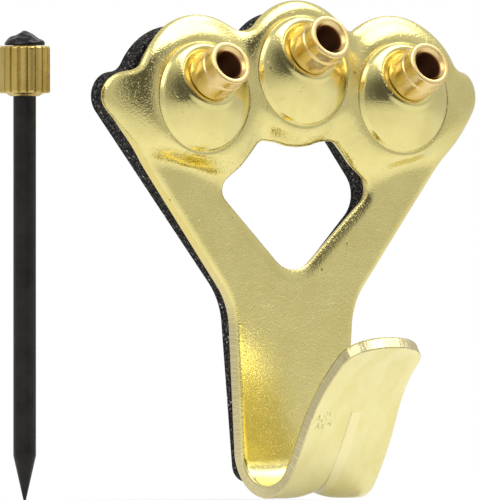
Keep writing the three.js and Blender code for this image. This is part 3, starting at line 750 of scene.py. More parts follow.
def filled(loops, holes, step):
    """Triangles between closed lines, over points in staggered rows that keep half a step from them."""
    lines = loops + holes
    low, high = loops[0].min(0), loops[0].max(0)
    up = np.arange(low[1], high[1], step * math.sqrt(3) / 2)
    x, z = np.meshgrid(np.arange(low[0], high[0], step), up)
    x = x + (np.arange(len(up)) % 2 * step / 2)[:, None]
    spots = np.stack([x.ravel(), z.ravel()], 1)
    spots = spots[within(spots, loops, holes)]
    edge = np.concatenate(lines)
    near = np.concatenate([np.hypot(*(part[:, None] - edge[None]).transpose(2, 0, 1)).min(1)
                           for part in np.array_split(spots, parts_at_once)])
    spots = spots[near > step * spacing_share]
    links, first = [], 0
    for line in lines:
        links += [(first + i, first + (i + 1) % len(line)) for i in range(len(line))]
        first += len(line)
    points = np.concatenate([edge, spots])
    found = delaunay_2d_cdt([Vector(p) for p in points.tolist()], links, [], 0, 1e-7, False)
    points = np.array([tuple(p) for p in found[0]])
    triangles = np.array(found[2])
    return points, triangles[within(points[triangles].mean(1), loops, holes)]


# %% Flat field of the blank
dome_turns, rim_gap, field_step = 132, 0.06, 0.3
roll_lower, roll_more, roll_from, roll_over = 0.6, 0.26, 2, 8
hole_roll_upper, hole_roll_more, hole_middle, hole_over = 0.55, 0.4, 13, 3
rim_radius = dome_radius + ring_flat + rim_gap
rims = [circle((x, z), rim_radius, dome_turns) for _, x, z in domes]
outline_roll = roll_lower + roll_more * soft_step((outline[:, 1] - roll_from) / roll_over)
lower_side = soft_step((hole_middle - hole[:, 1]) / hole_over)
hole_roll = hole_roll_upper + hole_roll_more * lower_side
flat, flat_faces = filled([inset(outline, outline_roll[:, None])],
                          [inset(hole, hole_roll[:, None]), *rims], field_step)
print("flat field:", len(flat_faces), "triangles")


# %% What each point of the sheet remembers
dome_grain, hook_worn = 0.4, 0.6
worn_edge, worn_fade, hook_fade = 0.5, 0.8, 3


def blank_values(x, z, behind, cut):
    """Place on the blank, share of cut edge, and depth of the grain, which falls to a share on the
    domes and again by a share on the hook, where tools have worn it smoother."""
    x, z, behind, cut = np.broadcast_arrays(x, z, behind, cut)
    to_dome = np.min([np.hypot(x - dome_x, z - dome_z) for _, dome_x, dome_z in domes], 0)
    off_dome = soft_step((to_dome - dome_radius + worn_edge) / worn_fade)
    grain = dome_grain + (1 - dome_grain) * off_dome
    grain = grain * (1 - hook_worn * soft_step((neck_foot - z) / hook_fade))
    return {"blank": np.stack([x, behind, z], -1) * mm, "cut": np.asarray(cut, float), "grain": grain}


# %% Edges
edge_burr = 0.12
roll_drop, roll_drop_share = 0.2, 0.15
roll_power, slant_power = 1.4, 1.3
cut_front_gap, cut_back_gap = 0.05, 0.03
lean_from, lean_most, lean_foot, lean_fade = 0.36, 0.5, 15, 4
cut_from, cut_fade, back_skin = 0.16, 0.2, 0.01
slope_probe = 0.4


def edge_profile(roll, slant):
    """Inset and depth behind the face at each point: a soft roll in front, a straight cut, a small burr.
    The roll goes back by the drop plus a share of its width, and the slant is the share of that
    which falls evenly along the roll instead of close to the cut."""
    width = roll[:, None]
    drop = roll_drop + roll_drop_share * width
    front = np.linspace(0, math.pi / 2, 13)
    back = np.linspace(0, math.pi / 2, 5)
    straight = sheet - edge_burr - cut_front_gap - cut_back_gap - drop
    cut = drop + cut_front_gap + straight * np.linspace(0, 1, 3)
    away = [width * (1 - np.sin(front)), 0 * cut, edge_burr * (1 - np.cos(back)) + 0 * width, width]
    fall = (1 - slant) * (1 - np.cos(front)) ** roll_power + slant * np.sin(front) ** slant_power
    behind = [drop * fall, cut, sheet - edge_burr * (1 - np.sin(back)) + 0 * width, sheet + 0 * width]
    return np.concatenate(away, 1), np.concatenate(behind, 1)


def edge_sheet(loop, roll, slant, taper):
    """The profile carried round the loop: loop point plus inset times its inward normal. The cut leans
    inward by the taper, or by up to half where the face slopes down to the edge."""
    away, behind = edge_profile(roll, slant)
    shape = inset(loop, 1) - loop
    slope = (mound_depth(*(loop + slope_probe * shape).T) - mound_depth(*loop.T)) / slope_probe
    leaning = np.clip(slope, 0, lean_most) * soft_step((loop[:, 1] - lean_foot) / lean_fade)
    leaning = np.maximum(leaning, taper)
    away[:, :-1] += leaning[:, None] * np.maximum(behind[:, :-1] - lean_from, 0)
    x = loop[:, None, 0] + shape[:, None, 0] * away
    z = loop[:, None, 1] + shape[:, None, 1] * away
    cut = soft_step((behind - cut_from) / cut_fade) * (behind < sheet - back_skin)
    return pressed(x, z, behind), grid_faces(*x.shape, closed_rows=True), blank_values(x, z, behind, cut)


# %% [markdown]
# ## Rings over the domes
# A dome is a grid of rings and spokes, close together where the foot is steep. From the
# round foot to the tilted seat the rings' centre, radius and squash all move in equal
# shares, so that the last ring is the edge of the hole that holds the guide. Triangles
# as in the flat field would show as ripples in a dome's highlights.

# %% Dome rings
guide_hole = 1.8
foot_rings, cap_rings, seat_rings = (8, 14), 24, 6
outer_foot, inner_foot, cap_edge = dome_radius + 0.1, dome_radius + 0.05, dome_radius - 0.6


def dome_sheet(dome_x, dome_z, behind):
    """x = centre + radius cos(angle); z = centre + rise times share + squashed radius sin(angle)."""
    inner = np.linspace(0, 1, cap_rings)[1:]
    radius = np.concatenate([
        np.linspace(rim_radius, outer_foot, foot_rings[0]),
        np.linspace(inner_foot, cap_edge, foot_rings[1]),
        cap_edge + (seat_radius - cap_edge) * inner,
        np.linspace(seat_radius, guide_hole, seat_rings)[1:],
    ])
    share = np.concatenate([np.zeros(sum(foot_rings)), inner, np.ones(seat_rings - 1)])
    angles = np.arange(dome_turns) / dome_turns * 2 * math.pi
    squash = 1 + (math.cos(guide_tilt) - 1) * share
    x = dome_x + radius[:, None] * np.cos(angles)
    z = dome_z + (seat_rise * share)[:, None] + (radius * squash)[:, None] * np.sin(angles)
    points = pressed(x, z, behind)
    if behind:
        drill = sheet * math.cos(guide_tilt)
        through = (0, drill * math.cos(guide_tilt), -drill * math.sin(guide_tilt))
        points[-1] = pressed(x[-1], z[-1], 0) + through
    return points, grid_faces(*x.shape, closed_columns=True), blank_values(x, z, behind, 0.0)


# %% All the sheet's surfaces
hole_slant, hole_taper = 0.55 * lower_side[:, None], 0.38
sheets = [edge_sheet(outline, outline_roll, 0.0, 0.0), edge_sheet(hole, hole_roll, hole_slant, hole_taper)]
for behind in (0.0, sheet):
    x, z = flat.T
    sheets.append((pressed(x, z, behind), flat_faces, blank_values(x, z, behind, 0.0)))
for _, dome_x, dome_z in domes:
    front, back = dome_sheet(dome_x, dome_z, 0.0), dome_sheet(dome_x, dome_z, sheet)
    wall = np.stack([front[0][-1], back[0][-1]])
    values = {"blank": wall * mm, "cut": np.ones(wall.shape[:2]), "grain": np.full(wall.shape[:2], 0.5)}
    sheets += [front, back, (wall, grid_faces(2, dome_turns, closed_columns=True), values)]
print("surfaces of the sheet:", len(sheets))

# %% [markdown]
# ## Finishes
# All the metals are built the same way: a fully metallic surface in the metal's own
# colour, with a roughness that wanders and a fine relief. Rolling, turning and drawing
# leave marks that run one way, so the shared node group has a stretch, which is small
# along the direction in which the marks run. It gives back heights and masks, and each
# finish decides how deep and how dark they are. Pictures of metal could be used instead,
# but noise has no seams and stays sharp up close.

# %% A node group
def new_group(name, inputs, outputs):
    """A shader group with named inputs and outputs, and its first and last node."""
    group = bpy.data.node_groups.new(name, "ShaderNodeTree")
    for socket, kind, value in inputs:
        made = group.interface.new_socket(socket, in_out="INPUT", socket_type=kind)
        if value is not None:
            made.default_value = value
    for socket in outputs:
        group.interface.new_socket(socket, in_out="OUTPUT", socket_type="NodeSocketFloat")
    start, end = group.nodes.new("NodeGroupInput"), group.nodes.new("NodeGroupOutput")
    start.location, end.location = (-300, 0), (1800, 0)
    return group, start, end


def noise(tree, place, vector, scale, detail=2.0, roughness=0.5):
    """Soft noise between 0 and 1."""
    return add_node(tree, "ShaderNodeTexNoise", place, Vector=vector, Scale=scale, Detail=detail,
                    Roughness=roughness).outputs["Fac"]


def cells_of(tree, place, vector, scale, channel):
    """Distance to the middle of each cell, and one random number for each cell."""
    cells = add_node(tree, "ShaderNodeTexVoronoi", place, Vector=vector, Scale=scale)
    chance = add_node(tree, "ShaderNodeSeparateColor", (place[0] + 1, place[1]),
                      Color=cells.outputs["Color"])
    return cells.outputs["Distance"], chance.outputs[channel]


# %% Worked surface
worked, start, end = new_group(
    "worked_surface",
    [("Vector", "NodeSocketVector", None), ("Stretch", "NodeSocketVector", (1.0, 1.0, 1.0)),
     ("Scale", "NodeSocketFloat", 9000.0)],
    ["Grain", "Cloud", "Specks", "Hairlines", "Pits"])
plain = start.outputs["Vector"]
stretched = scaled_by(worked, (0, 0), plain, start.outputs["Stretch"])


def scaled(row, share):
    """A share of the group's scale."""
    return times(worked, (1, row), start.outputs["Scale"], share)


# %% Grain and clouds
grain_scales, grain_shares, cloud_scale, broken = (1.0, 0.42), (0.6, 0.4), 0.05, 0.6
grains = [noise(worked, (2, row), stretched, scaled(row, share), 2.0, broken)
          for row, share in enumerate(grain_scales)]
grain = plus(worked, (4, 0), times(worked, (3, 0), grains[0], grain_shares[0]),
             times(worked, (3, 1), grains[1], grain_shares[1]))
cloud = noise(worked, (2, 2), plain, scaled(2, cloud_scale), 4.0, broken)

# %% Specks, hairlines and pits
# A hairline is where slow noise crosses its middle value, kept only in patches.
speck_scale, speck_edge, speck_core, speck_share = 0.11, 0.12, 0.05, 0.16
hair_scale, hair_edge, hair_core = 0.07, 0.008, 0.002
hair_patch_scale, hair_patch_low, hair_patch_high = 0.17, 0.55, 0.62
pit_scale, pit_edge, pit_low = 1.1, 0.5, 0.1
to_speck, chance = cells_of(worked, (2, 3), plain, scaled(3, speck_scale), "Red")
specks = times(worked, (5, 3), between(worked, (4, 3), to_speck, speck_edge, speck_core),
               calc(worked, "LESS_THAN", (4, 4), chance, speck_share))
wander = noise(worked, (2, 5), plain, scaled(5, hair_scale), 1.0)
ridge = calc(worked, "ABSOLUTE", (4, 5), calc(worked, "SUBTRACT", (3, 5), wander, 0.5))
patches = noise(worked, (2, 6), plain, scaled(6, hair_patch_scale), 1.0)
hairlines = times(worked, (6, 5), between(worked, (5, 5), ridge, hair_edge, hair_core),
                  between(worked, (5, 6), patches, hair_patch_low, hair_patch_high))
to_pit, deep = cells_of(worked, (2, 8), stretched, scaled(8, pit_scale), "Green")
pits = times(worked, (5, 8), between(worked, (4, 8), to_pit, pit_edge, 0.0),
             between(worked, (4, 9), deep, pit_low, 1.0))
for socket, value in zip(end.inputs, (grain, cloud, specks, hairlines, pits)):
    worked.links.new(value, socket)
print("worked surface:", len(worked.nodes), "nodes")

# %% [markdown]
# ## Metals
# A metal takes two tones, of which the darker shows in the clouds and, darker still, in
# the specks. Hairlines catch the light because they are cut in and rough. The noise
# follows an attribute that stays with the piece: the sheet's own blank, or the axis of the
# lathe, so the marks run the way they would on the real piece. One function makes every
# brass, because they differ in their numbers only.

# %% A finish's first and last nodes
def new_finish(name, **plain):
    """A material and its tree, with plain values on the shader's own inputs."""
    material = bpy.data.materials.new(name)
    material.use_nodes = True
    shader = material.node_tree.nodes["Principled BSDF"]
    for key, value in plain.items():
        shader.inputs[key.replace("_", " ")].default_value = value
    return material, material.node_tree


def put_on(material, tone, rough, height):
    """Tone and roughness linked to the shader, and the height, in millimetres, through a bump."""
    tree = material.node_tree
    shader = tree.nodes["Principled BSDF"]
    tree.links.new(tone, shader.inputs["Base Color"])
    tree.links.new(rough, shader.inputs["Roughness"])
    bump = add_node(tree, "ShaderNodeBump", (-1, 2), Strength=1.0, Distance=mm, Height=height)
    tree.links.new(bump.outputs["Normal"], shader.inputs["Normal"])
    print(f"{material.name}: {len(tree.nodes)} nodes")


def attribute(tree, place, name, output):
    """One output of the node that reads an attribute of the mesh."""
    return add_node(tree, "ShaderNodeAttribute", place, {"attribute_name": name}).outputs[output]


# %% A metal with the worked surface
speck_dark, rough_swing, hair_rough = 0.3, 0.2, 12
cloud_low, cloud_high = 0.35, 0.65


def metal(name, colour, dark, roughness, place_from, scale, stretch, relief, amount=None, hair=0.0,
          pitted=0.0, details=None):
    """Colour and roughness follow the clouds; the relief, in millimetres, follows grain, pits and hairs."""
    material, tree = new_finish(name, Metallic=1.0)
    place = attribute(tree, (-8, 0), place_from, "Vector")
    marks = add_node(tree, "ShaderNodeGroup", (-7, 0), {"node_tree": worked}, Vector=place, Stretch=stretch,
                     Scale=scale).outputs
    tone = mixed(tree, (-5, 0), between(tree, (-6, 0), marks["Cloud"], cloud_low, cloud_high), colour, dark)
    tone = mixed(tree, (-4, 0), marks["Specks"], tone, [level * speck_dark for level in dark])
    rough = between(tree, (-5, 1), marks["Cloud"], cloud_low, cloud_high, roughness * (1 - rough_swing),
                    roughness * (1 + rough_swing))
    rough_hair = times(tree, (-5, 2), marks["Hairlines"], hair_rough * hair)
    rough = plus(tree, (-4, 1), rough, rough_hair)
    height = times(tree, (-6, 3), marks["Grain"], relief)
    height = calc(tree, "SUBTRACT", (-5, 3), height, times(tree, (-6, 2), marks["Pits"], pitted))
    if amount:
        height = times(tree, (-5, 3), height, attribute(tree, (-6, 4), amount, "Fac"))
    height = plus(tree, (-4, 3), height, times(tree, (-5, 4), marks["Hairlines"], -hair))
    if details:
        tone, rough, height = details(tree, place, tone, rough, height)
    put_on(material, tone, rough, height)
    return material


# %% [markdown]
# ## What only the sheet has
# The bending tool leaves a band up the outside of the hook, which is paler, and below the
# bend the hook's tone goes over to a paler, streaked one, by half on the inside. The cut
# edges keep shear marks from front to back, and tools have scuffed the hook beside the band.
# A painted mask could hold all that, but these marks sit at fixed places of the flat blank,
# which the attribute gives in metres, so a few ranges are enough.

# %% Band and scuffs on the hook
band_low, band_high, band_soft = (-0.0247, -0.0242), (-0.0135, -0.0155), 8e-5
band_narrow, band_wide = -0.0245, -0.0165
band_half_low, band_half_high = 0.0005, 0.00056
outside_from = 0.0009
scuff_place, scuff_outer, scuff_inner = (-0.0031, 0.0012, -0.0236), 0.0013, 0.0004
scuff_scale, scuff_low, scuff_high = 6500.0, 0.56, 0.66


def hook_band(tree, parts):
    """1 on the band: closer to the middle than its half width, between its ends, on the outside."""
    across = calc(tree, "ABSOLUTE", (-6, 5), parts["X"])
    half = between(tree, (-6, 6), parts["Z"], band_narrow, band_wide, band_half_low, band_half_high)
    band = between(tree, (-4, 5), calc(tree, "SUBTRACT", (-5, 5), across, half), band_soft, -band_soft)
    for row, (low, high) in enumerate([band_low, band_high]):
        along = between(tree, (-4, 6 + row), parts["Z"], low, high)
        band = times(tree, (-3, 5 + row), band, along)
    outside = calc(tree, "GREATER_THAN", (-4, 8), parts["Y"], outside_from)
    return times(tree, (-2, 5), band, outside)


def hook_scuffs(tree, place):
    """1 on the peaks of a stretched noise, close to one spot."""
    distance = vector_calc(tree, "DISTANCE", (-6, 11), place, scuff_place).outputs["Value"]
    lines = scaled_by(tree, (-6, 12), place, (1.0, 1.0, 0.4))
    return times(tree, (-3, 11), between(tree, (-5, 11), distance, scuff_outer, scuff_inner),
                 between(tree, (-4, 11), noise(tree, (-5, 12), lines, scuff_scale), scuff_low, scuff_high))


# %% Paler hook, cut edges and all of it together
hook_cut, lobe_cut = (0.66, 0.58, 0.33), (0.81, 0.66, 0.21)
hook_pale, hook_pale_streak = (0.79, 0.71, 0.33), (0.84, 0.775, 0.42)
scuffed, band_tone = (0.22, 0.19, 0.10), (0.92, 0.83, 0.50)
shear_depth, band_height = 0.05, -0.06
cut_share, cut_rough, band_share = 0.85, 0.12, 0.6
pale_from, pale_to, inside_to = -0.012, -0.016, -0.0004
hook_cut_at, lobe_cut_at, shear_scale, streak_scale = -0.002, 0.010, 4200.0, 420.0


def paler_below_bend(tree, place, parts, tone):
    """Below the bend the tone goes over to a paler, streaked one, by half inside the hook."""
    share = between(tree, (-7, 15), parts["Y"], inside_to, outside_from, 0.5, 1.0)
    share = times(tree, (-5, 15), share, between(tree, (-6, 15), parts["Z"], pale_from, pale_to))
    along = scaled_by(tree, (-8, 16), place, (1.0, 1.0, 0.5))
    streaks = between(tree, (-6, 16), noise(tree, (-7, 16), along, streak_scale, 4.0, broken),
                      cloud_low, cloud_high)
    return mixed(tree, (-4, 15), share, tone, mixed(tree, (-5, 16), streaks, hook_pale, hook_pale_streak))


def sheet_details(tree, place, tone, rough, height):
    """The paler tone below the bend, then cut edges, scuffs and the band over it; shear marks and the band
    as relief.
    """
    parts = add_node(tree, "ShaderNodeSeparateXYZ", (-7, 5), Vector=place).outputs
    band, scuffs = hook_band(tree, parts), hook_scuffs(tree, place)
    cut = attribute(tree, (-7, 9), "cut", "Fac")
    front_to_back = scaled_by(tree, (-6, 9), place, (1.0, 0.1, 1.0))
    shear = times(tree, (-4, 9), noise(tree, (-5, 9), front_to_back, shear_scale, 2.0, broken), cut)
    height_share = between(tree, (-5, 14), parts["Z"], hook_cut_at, lobe_cut_at)
    cut_tone = mixed(tree, (-4, 14), height_share, hook_cut, lobe_cut)
    tone = paler_below_bend(tree, place, parts, tone)
    tone = mixed(tree, (-3, 0), times(tree, (-4, 13), cut, cut_share), tone, cut_tone)
    tone = mixed(tree, (-2, 0), scuffs, tone, scuffed)
    tone = mixed(tree, (-1, 0), times(tree, (-2, 4), band, band_share), tone, band_tone)
    rough = plus(tree, (-2, 1), rough, times(tree, (-3, 2), cut, cut_rough))
    height = plus(tree, (-3, 3), height, times(tree, (-4, 4), band, band_height))
    height = plus(tree, (-2, 3), height, times(tree, (-3, 9), shear, shear_depth))
    return tone, rough, height


# %% Plated sheet
plated, plated_dark = (0.80, 0.708, 0.30), (0.745, 0.655, 0.265)
plate_brass = metal("plate_brass", plated, plated_dark, roughness=0.13, place_from="blank", scale=7000.0,
                    stretch=(1, 1, 1), relief=0.026, amount="grain", hair=0.009, pitted=0.011,
                    details=sheet_details)
make_piece("pressed_plate", sheets, "hanger", ["hanger_plate"], plate_brass)

# %% [markdown]
# ## Turned pieces
# The guides, the nail and its collar come off a lathe. Each is a profile of radius and
# height, turned round its own axis, then moved to where the CAD model has it. A Screw
# modifier turns a profile as well. The array is taken here because the place before the
# move can be kept as an attribute, so that turning marks run round the axis.

# %% Turning
def turned(profile, turns, closed=True):
    """x = radius cos(angle), y = radius sin(angle), z = height, for each profile point and angle."""
    angles = np.arange(turns) / turns * 2 * math.pi
    radius, height = profile[:, 0, None], profile[:, 1, None]
    points = np.stack([radius * np.cos(angles), radius * np.sin(angles), height + 0 * angles], -1)
    return points, grid_faces(len(profile), turns, closed_rows=closed, closed_columns=True)


# %% [markdown]
# ## Nail guides
# A guide is a short brass tube that stands on its dome's seat. Its thin shank goes
# through the sheet and is flared behind it, as a rivet is. The outer end has a slightly
# thinner nose and a countersunk mouth that leads the nail in. The bore is rougher and
# painted dark brown, a painted shade of the deep hole, which is why the mouth looks dark.
# A Bevel modifier would give every corner the same width, so each corner of the profile
# has its own radius instead.

# %% Bore and brass of the guides
bore_shade_start, bore_shade_full, bore_shade_tone, bore_rough = 0.00128, 0.00118, (0.30, 0.13, 0.055), 0.25


def bore_painted_shade(tree, place, tone, rough, height):
    """Painted shade: darker, and rougher too, where the distance from the axis falls below the bore's edge.
    """
    level = scaled_by(tree, (-6, 6), place, (1, 1, 0))
    radius = vector_calc(tree, "LENGTH", (-5, 6), level).outputs["Value"]
    bore = between(tree, (-4, 6), radius, bore_shade_start, bore_shade_full)
    # The dark brown inside the bore is painted shade.
    tone = mixed(tree, (-2, 0), bore, tone, bore_shade_tone)
    return tone, plus(tree, (-2, 1), rough, times(tree, (-3, 6), bore, bore_rough)), height


turned_tone, turned_dark = (0.82, 0.63, 0.29), (0.74, 0.54, 0.21)
guide_brass = metal("guide_brass", turned_tone, turned_dark, roughness=0.24, place_from="lathe",
                    scale=8000.0, stretch=(0.3, 0.3, 1), relief=0.009, details=bore_painted_shade)

# %% Guide profile and the three guides
bore, shank, body, nose, mouth, flare = 1.15, 1.6, 2.05, 1.93, 1.5, 2.0
flare_gap, flare_thick = 0.25, 0.5
body_foot, body_top, nose_foot, guide_length, mouth_foot = 0.04, 2.02, 2.1, 3.2, 2.8
turned_step, guide_turns = 0.12, 96

flare_top = -sheet * math.cos(guide_tilt) - flare_gap
guide_profile = filleted([
    (bore, flare_top - flare_thick, 0.08), (flare, flare_top - flare_thick, 0.12), (flare, flare_top, 0.08),
    (shank, flare_top, 0.05), (shank, body_foot, 0.05), (body, body_foot, 0.07), (body, body_top, 0.06),
    (nose, nose_foot, 0.04), (nose, guide_length, 0.11), (mouth, guide_length, 0.06),
    (bore, mouth_foot, 0.08)], turned_step, True)
guide_points, guide_faces = turned(guide_profile, guide_turns)
guide_x, guide_y, guide_z = np.moveaxis(guide_points, -1, 0)
print("guide profile:", len(guide_profile), "points")
lean_back = math.pi / 2 - guide_tilt
tipped_y = guide_y * math.cos(lean_back) - guide_z * math.sin(lean_back) - seat_depth
tipped_z = guide_y * math.sin(lean_back) + guide_z * math.cos(lean_back) + seat_rise
for side, dome_x, dome_z in domes:
    placed = np.stack([guide_x + dome_x, tipped_y, tipped_z + dome_z], -1)
    make_piece(f"guide_tube_{side}", [(placed, guide_faces, {"lathe": guide_points * mm})],
               "hanger", [f"nail_guide_{side}"], guide_brass)

# %% [markdown]
# ## The foam pad
# The pad is cut from a sheet of dense black foam with a knife die, so it has straight
# sides with barely rounded shoulders. It is about as large as the sheet and shows at the
# left, past the sheet's edge. Its openings for the guides and the diamond are simple
# shapes. Under the ears, which are bent back, the foam is pressed thinner. Up close foam
# is a field of open cells and a few bright specks of dust. Real holes of that size would
# run to many thousands, so the cells are colour and bump: painted shade darkens the middle
# of each cell, and a painted sheen makes the walls between them paler.

# %% Foam
foam_pore_shade, foam_wall_sheen = (0.004, 0.004, 0.0045), (0.022, 0.021, 0.020)
foam_fleck, foam_dust = (0.16, 0.15, 0.14), (0.42, 0.40, 0.37)
cell_scale, cell_open, cell_wall, cell_depth = 3800.0, 0.25, 0.6, 0.14
dust_scale, dust_edge, dust_core, dust_share = 2300.0, 0.26, 0.16, 0.17
fleck_scale, fleck_low, fleck_high = 5200.0, 0.56, 0.68
dull_scale, foam_rough = 900.0, 0.75


def foam_finish():
    """Near-black foam: open cells as hollows with painted shade in their middles, a painted sheen on the
    paler walls between them, and a few white specks of dust.
    """
    material, tree = new_finish("pad_foam", Specular_IOR_Level=0.12)
    place = add_node(tree, "ShaderNodeTexCoord", (-6, 0)).outputs["Object"]
    cells = add_node(tree, "ShaderNodeTexVoronoi", (-5, 0), Vector=place,
                     Scale=cell_scale).outputs["Distance"]
    to_dust, chance = cells_of(tree, (-5, 1), place, dust_scale, "Red")
    dust = times(tree, (-2, 1), between(tree, (-3, 1), to_dust, dust_edge, dust_core),
                 calc(tree, "LESS_THAN", (-3, 2), chance, dust_share))
    # Painted shade in the cells' middles, and a painted sheen on their walls.
    tone = mixed(tree, (-3, 0), between(tree, (-4, 0), cells, cell_open, cell_wall), foam_pore_shade, foam_wall_sheen)
    fleck = between(tree, (-3, -1), noise(tree, (-4, -1), place, fleck_scale, 1.0), fleck_low, fleck_high)
    tone = mixed(tree, (-2, 0), fleck, tone, foam_fleck)
    tone = mixed(tree, (-1, 0), dust, tone, foam_dust)
    rough = between(tree, (-3, 3), noise(tree, (-4, 3), place, dull_scale), 0.3, 0.7, foam_rough, 1.0)
    put_on(material, tone, rough, times(tree, (-2, 2), cells, cell_depth))
    return material


# %% Outlines of the pad
pad_thickness, pad_edge, foam_gap = 1.9, 0.1, 0.02
pad_neck, pad_foot = 5.5, [(0, -12.6, 0), (4.1, -12.6, 1.5)]
pad_ear, pad_side_lobe, pad_middle_lobe = (16.74, 19.5, 2.02), (10.5, 19.45, 5.9), (0.0, 21.5, 5.0)
pad_arm = math.radians(39.3)
opening_radius, opening_drop, opening_turns = 2.0, 0.35, 48
pad_step, pad_hole_step, pad_field = 0.25, 0.3, 0.5

pad_right = half_outline(pad_neck, pad_foot, pad_arm, pad_ear, pad_side_lobe, pad_middle_lobe, pad_step)
pad_outline = np.concatenate([pad_right, mirrored(pad_right)[1:-1]])
pad_hole = filleted([(0, 1.85, 4.0), (8.9, 11.15, 2.5), (4.75, 16.6, 1.5), (-4.75, 16.6, 1.5),
                     (-8.9, 11.15, 2.5)], pad_hole_step, True)[::-1]
pad_rims = [circle((x, z - opening_drop), opening_radius, opening_turns)[::-1] for _, x, z in domes]
print("pad outline:", len(pad_outline), "points")


# %% Surfaces of the pad
def pad_front(x, z):
    """The pad's thickness, or the depth of the sheet's back where the ears press into the foam."""
    return np.minimum(pad_thickness, mound_depth(x, z) - sheet - foam_gap)


def pad_edge_sheet(loop):
    """Inset and depth along a quarter circle in front, a straight cut and a quarter circle behind,
    with all depths scaled to the pad's front at that place."""
    quarter = np.linspace(0, math.pi / 2, 4)
    cut = np.linspace(pad_thickness - 2 * pad_edge, 2 * pad_edge, 5)
    profile = np.concatenate([
        np.stack([pad_edge * (1 - np.sin(quarter)), pad_thickness - pad_edge * (1 - np.cos(quarter))], 1),
        np.stack([0 * cut, cut], 1),
        np.stack([pad_edge * (1 - np.cos(quarter)), pad_edge * (1 - np.sin(quarter))], 1)])
    shape = inset(loop, 1) - loop
    x = loop[:, None, 0] + shape[:, None, 0] * profile[None, :, 0]
    z = loop[:, None, 1] + shape[:, None, 1] * profile[None, :, 0]
    depth = profile[None, :, 1] * pad_front(x, z) / pad_thickness
    return np.stack([x, -depth, z], -1), grid_faces(*x.shape, closed_rows=True), {}


pad_holes = [pad_hole, *pad_rims]
pad_flat, pad_faces = filled([inset(pad_outline, pad_edge)],
                             [inset(line, pad_edge) for line in pad_holes], pad_field)
x, z = pad_flat.T
pad_sheets = [pad_edge_sheet(loop) for loop in [pad_outline, *pad_holes]]
pad_sheets += [(np.stack([x, -share * pad_front(x, z), z], -1), pad_faces, {}) for share in (0, 1)]
pad = make_piece("foam_pad", pad_sheets, "hanger", ["backing_pad"], foam_finish())

# %% [markdown]
# ## The nail
# The nail is drawn wire with a ground point, hardened until it is black. Its skin is
# satin along the shank. The head has been struck: it is pushed a little aside, its top
# isn't quite round any more, and the blows have left it glossy. It could be sculpted, but
# a turned cap whose points are moved by a few soft waves is as uneven and stays closed.

# %% Black steel
steel_dark, steel_pale = (0.005, 0.0045, 0.0042), (0.016, 0.0135, 0.012)
steel_speck, steel_struck = (0.10, 0.085, 0.07), (0.035, 0.033, 0.035)
shine_from, shine_to, shine_gloss = 0.0365, 0.0378, 0.25
skin_smooth, skin_rough, skin_relief = 0.36, 0.5, 0.03


def steel_finish():
    """Hardened steel with a black skin: satin along the shank, glossier on the struck head."""
    material, tree = new_finish("nail_steel", Specular_IOR_Level=0.25)
    place = attribute(tree, (-7, 0), "lathe", "Vector")
    marks = add_node(tree, "ShaderNodeGroup", (-6, 0), {"node_tree": worked}, Vector=place,
                     Stretch=(1, 1, 0.25), Scale=7000.0).outputs
    clouds = between(tree, (-5, 0), marks["Cloud"], cloud_low, cloud_high)
    tone = mixed(tree, (-4, 0), clouds, steel_dark, steel_pale)
    tone = mixed(tree, (-3, 0), marks["Specks"], tone, steel_speck)
    up = add_node(tree, "ShaderNodeSeparateXYZ", (-6, 2), Vector=place).outputs["Z"]
    shine = between(tree, (-5, 2), up, shine_from, shine_to)
    tone = mixed(tree, (-2, 0), shine, tone, steel_struck)
    tree.links.new(shine, tree.nodes["Principled BSDF"].inputs["Metallic"])
    skin = between(tree, (-4, 1), marks["Cloud"], 0.3, 0.7, skin_smooth, skin_rough)
    rough = calc(tree, "SUBTRACT", (-3, 1), skin, times(tree, (-4, 2), shine, shine_gloss))
    put_on(material, tone, rough, times(tree, (-2, 2), marks["Grain"], skin_relief))
    return material


# %% Profile of the nail
nail_place = np.array([-27.22, -2.4, -13.96])
shank_radius, point_length, shank_below = 0.94, 3.75, 33.35
collar_height, head_gap = 4.15, 0.1
head_radius, head_height = 1.68, 1.2
shank_step, head_step, nail_turns = 0.3, 0.08, 72
seat = shank_below + collar_height + head_gap
head_shares = [(0.97, 0), (1, 0.08), (0.97, 0.22), (0.9, 0.37), (0.79, 0.5), (0.64, 0.62), (0.46, 0.73),
               (0.3, 0.84), (0.16, 0.95), (0.07, 0.99), (0, 1)]
shank_line = [(0, 0), (0.06, 0.03), (0.12, 0.12), (shank_radius, point_length), (shank_radius, seat)]
head_line = [(head_radius * wide, seat + head_height * high) for wide, high in head_shares]
pin_profile = np.concatenate([divided(np.array(shank_line), shank_step),
                              divided(np.array(head_line), head_step)])
pin_points, pin_faces = turned(pin_profile, nail_turns, closed=False)
print("nail:", round(float(pin_points[..., 2].max()), 2), "mm long")

# %% The struck head
push, low_side, ridge_across, ridge_ahead, out_of_round = 0.05, 0.16, 0.035, 0.03, 0.03


def struck(points):
    """The head pushed aside, with a low dome off its middle and a lower side that has soft ridges.
    The drop is a soft step across the head plus two slanted sine waves, and grows with the height."""
    above = points[..., 2] - seat
    share = soft_step(above / 0.5)
    across = points[..., 0] * to_the_right.x + points[..., 1] * to_the_right.y
    ahead = points[..., 0] * towards_camera.x + points[..., 1] * towards_camera.y
    lower = soft_step((across - 0.1) / 1.0)
    drop = low_side * lower + ridge_across * np.sin(across * 6.5 + ahead * 2)
    drop = drop + ridge_ahead * np.sin(ahead * 7 - across * 3)
    side = 1 + out_of_round * np.sin(2 * np.arctan2(ahead, across) + 0.7) * share
    moved = points * np.stack([side, side, np.ones_like(side)], -1)
    moved[..., 2] -= share * drop * soft_step(above / 0.9)
    return moved + share[..., None] * push * np.array([to_the_right.x, to_the_right.y, 0])


make_piece("nail_with_head", [(struck(pin_points) + nail_place, pin_faces, {"lathe": pin_points * mm})],
           "nail", ["nail_pin"], steel_finish())

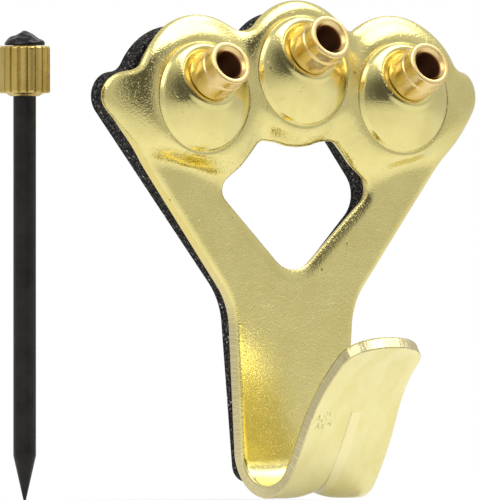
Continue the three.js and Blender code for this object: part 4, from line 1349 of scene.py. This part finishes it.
# %% [markdown]
# ## The collar
# The collar is a brass bush pressed under the nail's head, where fingers hold it. Its
# side has straight flutes with rounded lands. The cutter never spaces them quite evenly,
# and that shows in the highlights, so each groove is moved by a small share of its step.
# Booleans could cut the grooves but leave long thin faces. Here the radius is simply the
# lower of the profile's and the flute's, so a groove is only ever cut inward.

# %% Collar
flutes, flute_depth, flute_share, land_crown = 18, 0.2, 0.2, 0.2
collar_bore, collar_radius, collar_foot = 1.06, 2.1, 33.4
collar_profile = filleted([
    (collar_bore, 0, 0.05), (1.2, 0, 0.1), (1.5, 0.22, 0.15), (collar_radius, 0.28, 0.14),
    (collar_radius, 4.0, 0.1), (1.98, collar_height, 0.08), (collar_bore, collar_height, 0.05)],
    turned_step, True)
shares = np.array([0.0, 0.04, 0.08, 0.12, 0.17, 0.25, 0.35, 0.5, 0.65, 0.75, 0.83, 0.88, 0.92, 0.96])
flute_step = 2 * math.pi / flutes
uneven = 0.05 * np.sin(np.arange(flutes) * 2.4) * flute_step
angles = (np.arange(flutes)[:, None] + shares) * flute_step + uneven[:, None] * (shares < flute_share)
angles = np.sort(angles.ravel())
from_groove = np.minimum(shares, 1 - shares)
valley = np.tile(1 - soft_step(from_groove / flute_share) + land_crown * (0.5 - from_groove) ** 2, flutes)
radius, height = collar_profile[:, 0, None], collar_profile[:, 1, None]
cut_radius = np.minimum(radius, collar_radius - flute_depth * valley)
collar_points = np.stack([cut_radius * np.cos(angles), cut_radius * np.sin(angles),
                          height + 0 * angles], -1)
print("collar:", len(angles), "points round each of", len(collar_profile), "rings")
collar_faces = grid_faces(len(collar_profile), len(angles), closed_rows=True, closed_columns=True)
bush_tone, bush_dark = (0.64, 0.48, 0.16), (0.50, 0.36, 0.10)
collar_brass = metal("collar_brass", bush_tone, bush_dark, roughness=0.3, place_from="lathe", scale=7000.0,
                     stretch=(1, 1, 0.3), relief=0.012)
collar_place = nail_place + (0, 0, collar_foot)
make_piece("fluted_collar", [(collar_points + collar_place, collar_faces, {"lathe": collar_points * mm})],
           "nail", ["nail_collar"], collar_brass)

# %% [markdown]
# ## The CAD model's box
# The CAD model's box is printed.

# %% The CAD model's box
print("CAD box", [round(v / mm, 2) for v in (*cad_low, *cad_high)])
